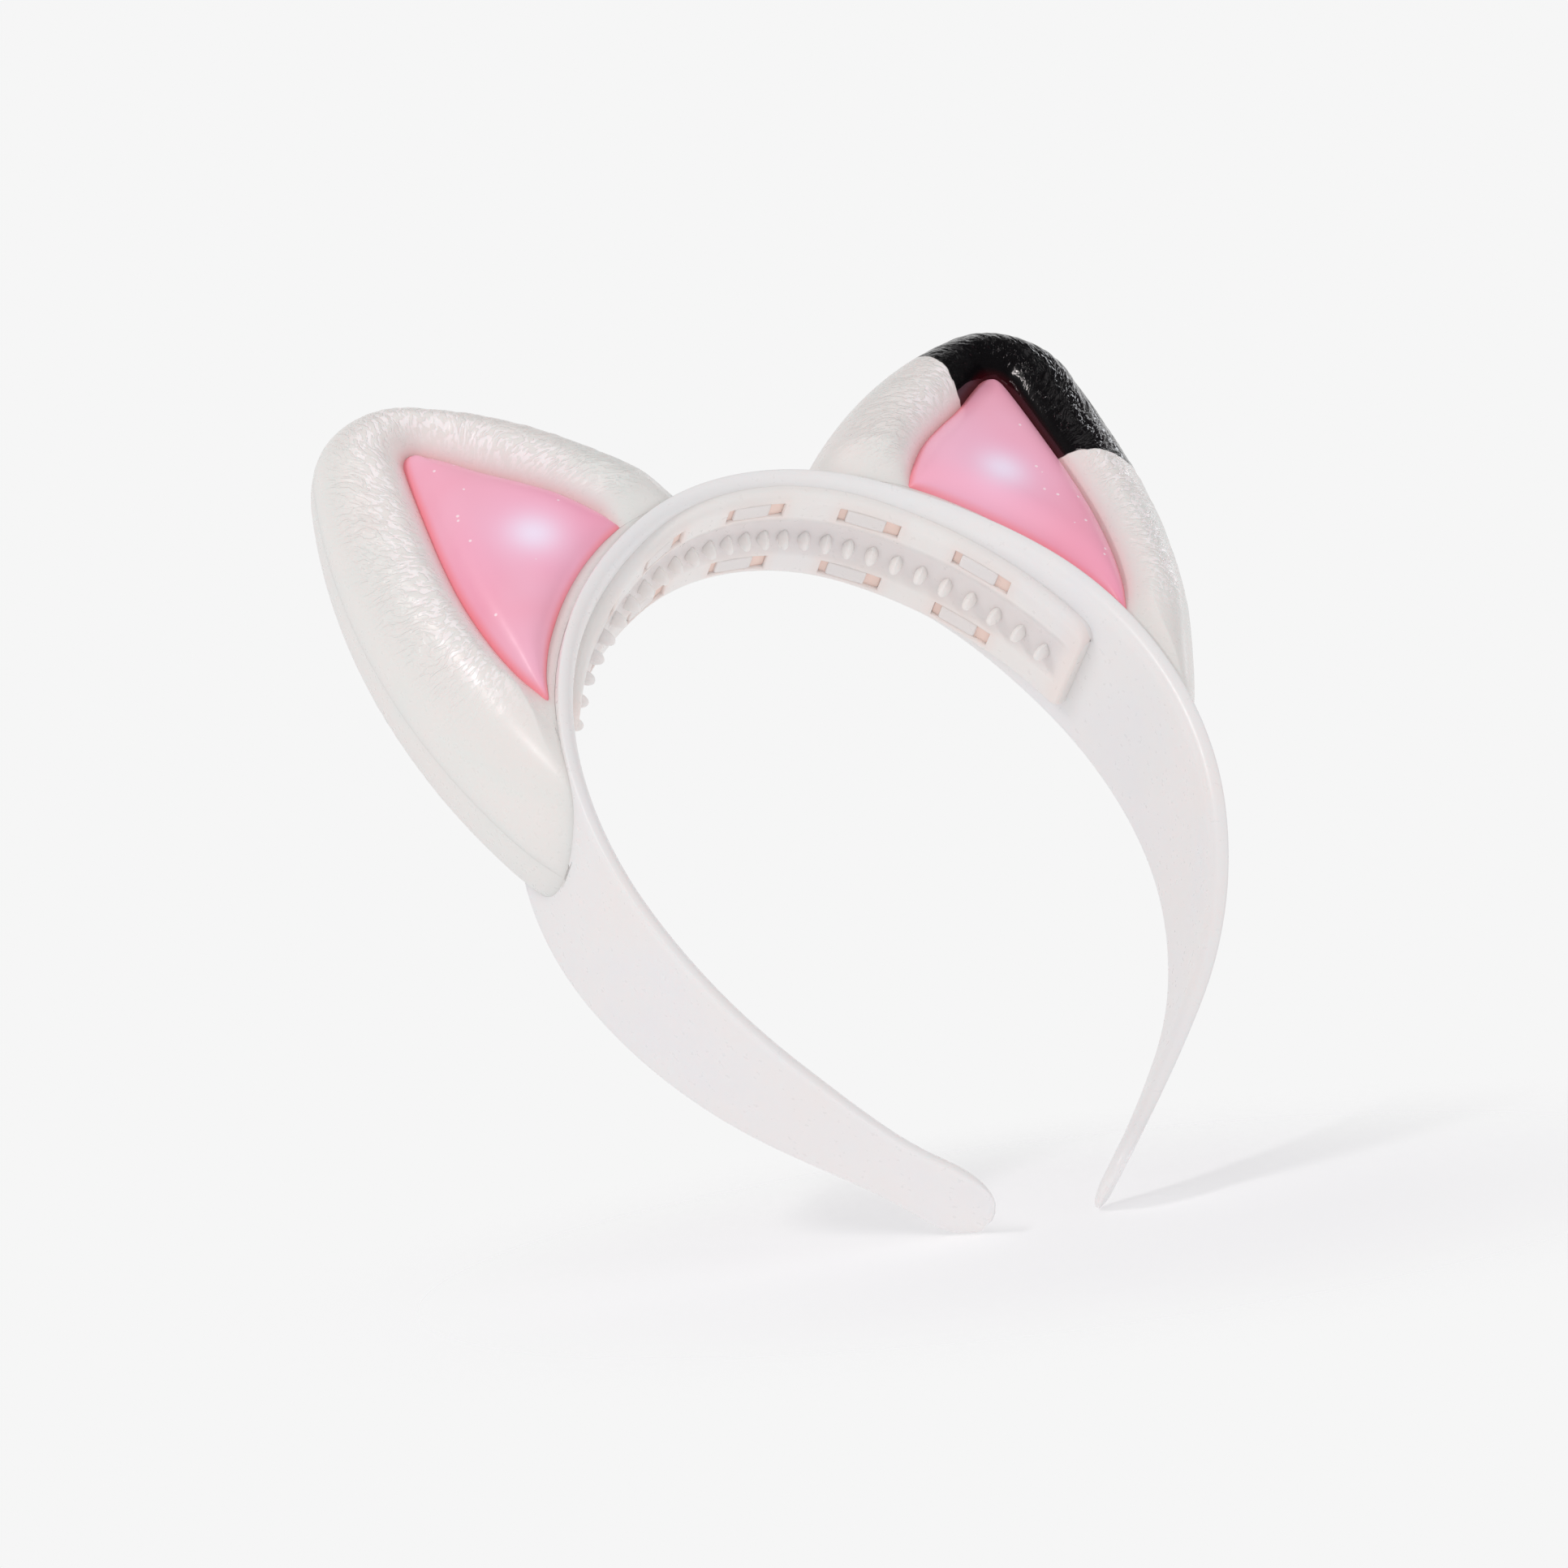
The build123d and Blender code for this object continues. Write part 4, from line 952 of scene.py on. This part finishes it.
def lens_material():
    n = Nodes("pink_lens_gloss")
    gap = n.attr("edge_gap")
    slow = n.noise(36.0, 2.0, 0.5, 0.3)
    body = n.ramp(slow, [(0.3, rgb(247, 160, 186)), (0.5, rgb(247, 172, 194)), (0.72, rgb(246, 182, 204))])
    coral = n.span(gap, 0.0, 1.3, 0.75, 0.0, "SMOOTHSTEP")
    body = n.mix(coral, body, rgb(250, 134, 140))
    body = n.mix(n.span(n.attr("halo"), 0.1, 1.0, 0.0, 0.55), body, rgb(250, 196, 224))
    body = n.mix(n.attr("glow"), body, rgb(247, 228, 248))
    specks = n.add("ShaderNodeTexVoronoi")
    specks.inputs["Scale"].default_value = 240.0
    n.link(n.place, specks.inputs["Vector"])
    dots = n.span(specks.outputs["Distance"], 0.06, 0.085, 1.0, 0.0)
    body = n.mix(dots, body, rgb(255, 224, 232))
    n.colour(body)
    n.link(body, n.bsdf.inputs["Emission Color"])
    n.bsdf.inputs["Emission Strength"].default_value = 0.06
    n.bsdf.inputs["Coat Weight"].default_value = 0.12
    n.bsdf.inputs["Coat Roughness"].default_value = 0.2
    n.rough(n.span(n.noise(500.0, 2.0, 0.5), 0.3, 0.7, 0.34, 0.44))
    n.bump(n.noise(150.0, 2.0, 0.5), 0.00006, 0.25)
    return n.mat


def simple(name, low, high, rough, metal=0.0, scale=300.0, depth=0.00003):
    """A moulded, plated or coated finish: two close tones, uneven gloss, fine grain."""
    n = Nodes(name)
    n.colour(n.ramp(n.noise(scale, 4.0, 0.6), [(0.35, rgb(*low)), (0.65, rgb(*high))]))
    n.rough(n.span(n.noise(scale * 3, 3.0, 0.6), 0.3, 0.7, rough[0], rough[1]))
    n.bump(n.noise(scale * 6, 3.0, 0.6), depth, 0.5)
    n.bsdf.inputs["Metallic"].default_value = metal
    return n.mat


ear_white = ear_material("ear_pearl_front", False)
ear_capped = ear_material("ear_pearl_black_tip", True)
back_white = back_material("ear_pearl_back", False)
back_capped = back_material("ear_pearl_back_black_tip", True)
lens_mat = lens_material()


def dress(obj, mat):
    obj.data.materials.clear()
    obj.data.materials.append(mat)


dress(band, band_mat.mat)
dress(cover, cover_mat.mat)
dress(left_front, ear_capped)
dress(right_front, ear_white)
dress(left_back, back_capped)
dress(right_back, back_white)
dress(left_lens, lens_mat)
dress(right_lens, lens_mat)

FINISHES = {
    "pearl_plastic": cover_mat.mat,
    "led_epoxy": simple("led_epoxy", (240, 214, 232), (250, 232, 244), (0.06, 0.14)),
    "circuit_board": simple("circuit_board", (14, 84, 44), (24, 108, 58), (0.28, 0.42), 0.0, 900.0),
    "nickel": simple("nickel_plate", (196, 192, 182), (218, 214, 206), (0.18, 0.3), 1.0, 500.0),
    "steel_screw": simple("zinc_screw", (168, 170, 174), (200, 202, 205), (0.25, 0.42), 1.0, 700.0),
    "cell_steel": simple("cell_steel", (196, 198, 200), (220, 221, 222), (0.14, 0.28), 1.0, 400.0),
    "chip_black": simple("chip_black", (22, 22, 24), (34, 34, 36), (0.5, 0.65), 0.0, 1200.0),
    "switch_cream": simple("switch_cream", (214, 204, 180), (226, 218, 196), (0.4, 0.55), 0.0, 600.0),
    "button_rubber": simple("button_silicone", (214, 210, 212), (226, 222, 223), (0.5, 0.66), 0.0, 500.0),
    "wire_red": simple("wire_red", (170, 22, 24), (196, 34, 34), (0.35, 0.5), 0.0, 800.0),
    "wire_black": simple("wire_black", (20, 20, 22), (36, 36, 38), (0.35, 0.5), 0.0, 800.0),
    "wire_yellow": simple("wire_yellow", (214, 170, 30), (232, 190, 52), (0.35, 0.5), 0.0, 800.0),
}
slots = {p["node"]: p["material_slot"] for p in frame["record"]["subparts"]}
for node_name, node in frame["nodes"].items():
    mat = FINISHES.get(slots.get(node_name))
    if mat is None:
        continue
    if not node.data.materials:
        node.data.materials.append(mat)
    for k in range(len(node.data.materials)):
        node.data.materials[k] = mat

# ------------------------------------------------------------------ floor patch under the tips
scene = bpy.context.scene
across = Vector((1, 0, 0))
normal = Vector((0, -0.62, 0.78)).normalized()
along = normal.cross(across).normalized()
tip_points = [v.co for v in band.data.vertices]
lowest = min(v.dot(normal) for v in tip_points)
spot = Vector((0.0, 0.0, (lowest - 0.0002) / normal.z))


def build_floor():
    n = 24
    grid = np.linspace(-1, 1, n)
    verts = []
    for a in grid:
        for b in grid:
            verts.append(spot + across * (0.16 * a) + along * (0.16 * b))
    mesh = bpy.data.meshes.new("floor_patch")
    mesh.from_pydata([tuple(v) for v in verts], [], [tuple(map(int, q)) for q in grid_faces(n, n)])
    mesh.update()
    obj = bpy.data.objects.new("floor_patch", mesh)
    bpy.context.collection.objects.link(obj)
    m = Nodes("pale_floor")
    m.bsdf.inputs["Roughness"].default_value = 0.9
    m.bsdf.inputs["Emission Color"].default_value = (1, 1, 1, 1)
    m.bsdf.inputs["Emission Strength"].default_value = 0.16
    m.colour(m.ramp(m.noise(6.0, 2.0, 0.5), [(0.3, rgb(246, 246, 247)), (0.7, rgb(249, 249, 250))]))
    away = m.add("ShaderNodeVectorMath")
    away.operation = "DISTANCE"
    away.inputs[1].default_value = tuple(spot)
    m.link(m.place, away.inputs[0])
    fade = m.span(away.outputs["Value"], 0.04, 0.15, 0.85, 0.0, "SMOOTHSTEP")
    back = m.add("ShaderNodeNewGeometry").outputs["Backfacing"]
    m.link(m.math("MULTIPLY", fade, m.math("SUBTRACT", 1.0, back)), m.bsdf.inputs["Alpha"])
    mesh.materials.append(m.mat)
    return obj


floor = build_floor()
if (floor.data.polygons[0].normal.dot(normal)) < 0:
    floor.data.flip_normals()

# ------------------------------------------------------------------ light
world = bpy.data.worlds.new("studio")
scene.world = world
world.use_nodes = True
tree = world.node_tree
back = tree.nodes["Background"]
coord = tree.nodes.new("ShaderNodeTexCoord")
split = tree.nodes.new("ShaderNodeSeparateXYZ")
ramp = tree.nodes.new("ShaderNodeValToRGB")
path = tree.nodes.new("ShaderNodeLightPath")
mixer = tree.nodes.new("ShaderNodeMix")
mixer.data_type = "RGBA"
to_unit = tree.nodes.new("ShaderNodeMapRange")
to_unit.inputs["From Min"].default_value = -1.0
to_unit.inputs["From Max"].default_value = 1.0
ramp.color_ramp.elements[0].position = 0.0
ramp.color_ramp.elements[0].color = (1.07, 1.075, 1.09, 1)
ramp.color_ramp.elements[1].position = 1.0
ramp.color_ramp.elements[1].color = (0.45, 0.44, 0.45, 1)
tree.links.new(coord.outputs["Generated"], split.inputs["Vector"])
tree.links.new(split.outputs["Z"], to_unit.inputs["Value"])
tree.links.new(to_unit.outputs["Result"], ramp.inputs["Fac"])
colours = [s for s in mixer.inputs if s.type == "RGBA"]
tree.links.new(ramp.outputs["Color"], colours[0])
colours[1].default_value = (*rgb(246, 246, 246), 1)
tree.links.new(path.outputs["Is Camera Ray"], mixer.inputs["Factor"])
gloss = tree.nodes.new("ShaderNodeMix")
gloss.data_type = "RGBA"
gloss_in = [s for s in gloss.inputs if s.type == "RGBA"]
tree.links.new([s for s in mixer.outputs if s.type == "RGBA"][0], gloss_in[0])
shade = tree.nodes.new("ShaderNodeMapRange")
shade.interpolation_type = "SMOOTHSTEP"
for key, value in (("From Min", -0.1), ("From Max", 0.55), ("To Min", 0.05), ("To Max", 0.85)):
    shade.inputs[key].default_value = value
tree.links.new(split.outputs["Y"], shade.inputs["Value"])
tree.links.new(shade.outputs["Result"], gloss_in[1])
tree.links.new(path.outputs["Is Glossy Ray"], gloss.inputs["Factor"])
tree.links.new([s for s in gloss.outputs if s.type == "RGBA"][0], back.inputs["Color"])


def area_light(name, direction, distance, size, power, colour=(1, 1, 1), aim=(0, 0, -0.04)):
    data = bpy.data.lights.new(name, "AREA")
    data.shape = "RECTANGLE"
    data.size, data.size_y = size
    data.energy = power
    data.color = colour
    obj = bpy.data.objects.new(name, data)
    way = Vector(direction).normalized()
    obj.location = Vector(aim) + way * distance
    obj.rotation_euler = (-way).to_track_quat("-Z", "Y").to_euler()
    bpy.context.collection.objects.link(obj)
    return obj


area_light("key", (-0.70, -0.60, 0.40), 1.1, (0.08, 0.45), 2.4, (1.0, 0.98, 0.97))
area_light("rim", (0.8, 0.25, 0.55), 1.0, (0.08, 0.5), 0.3, (0.92, 0.95, 1.0))
area_light("top", (0.1, -0.5, 0.85), 1.0, (0.7, 0.7), 0.55)

scene.view_settings.view_transform = "Standard"

# ------------------------------------------------------------------ camera
cam_data = bpy.data.cameras.new("camera")
cam_data.lens = 140.8
cam_data.sensor_width = 36.0
cam_data.sensor_height = 36.0
cam_data.sensor_fit = "HORIZONTAL"
camera = bpy.data.objects.new("camera", cam_data)
right = Vector((0.90794, -0.23437, -0.34744))
up = Vector((0.14406, -0.60397, 0.78388))
forward = Vector((0.39356, 0.76177, 0.51461))
turn = Matrix((right, up, -forward)).transposed()
camera.matrix_world = Matrix.Translation(Vector((-443.3, -832.2, -617.2)) * MM) @ turn.to_4x4()
bpy.context.collection.objects.link(camera)
scene.camera = camera
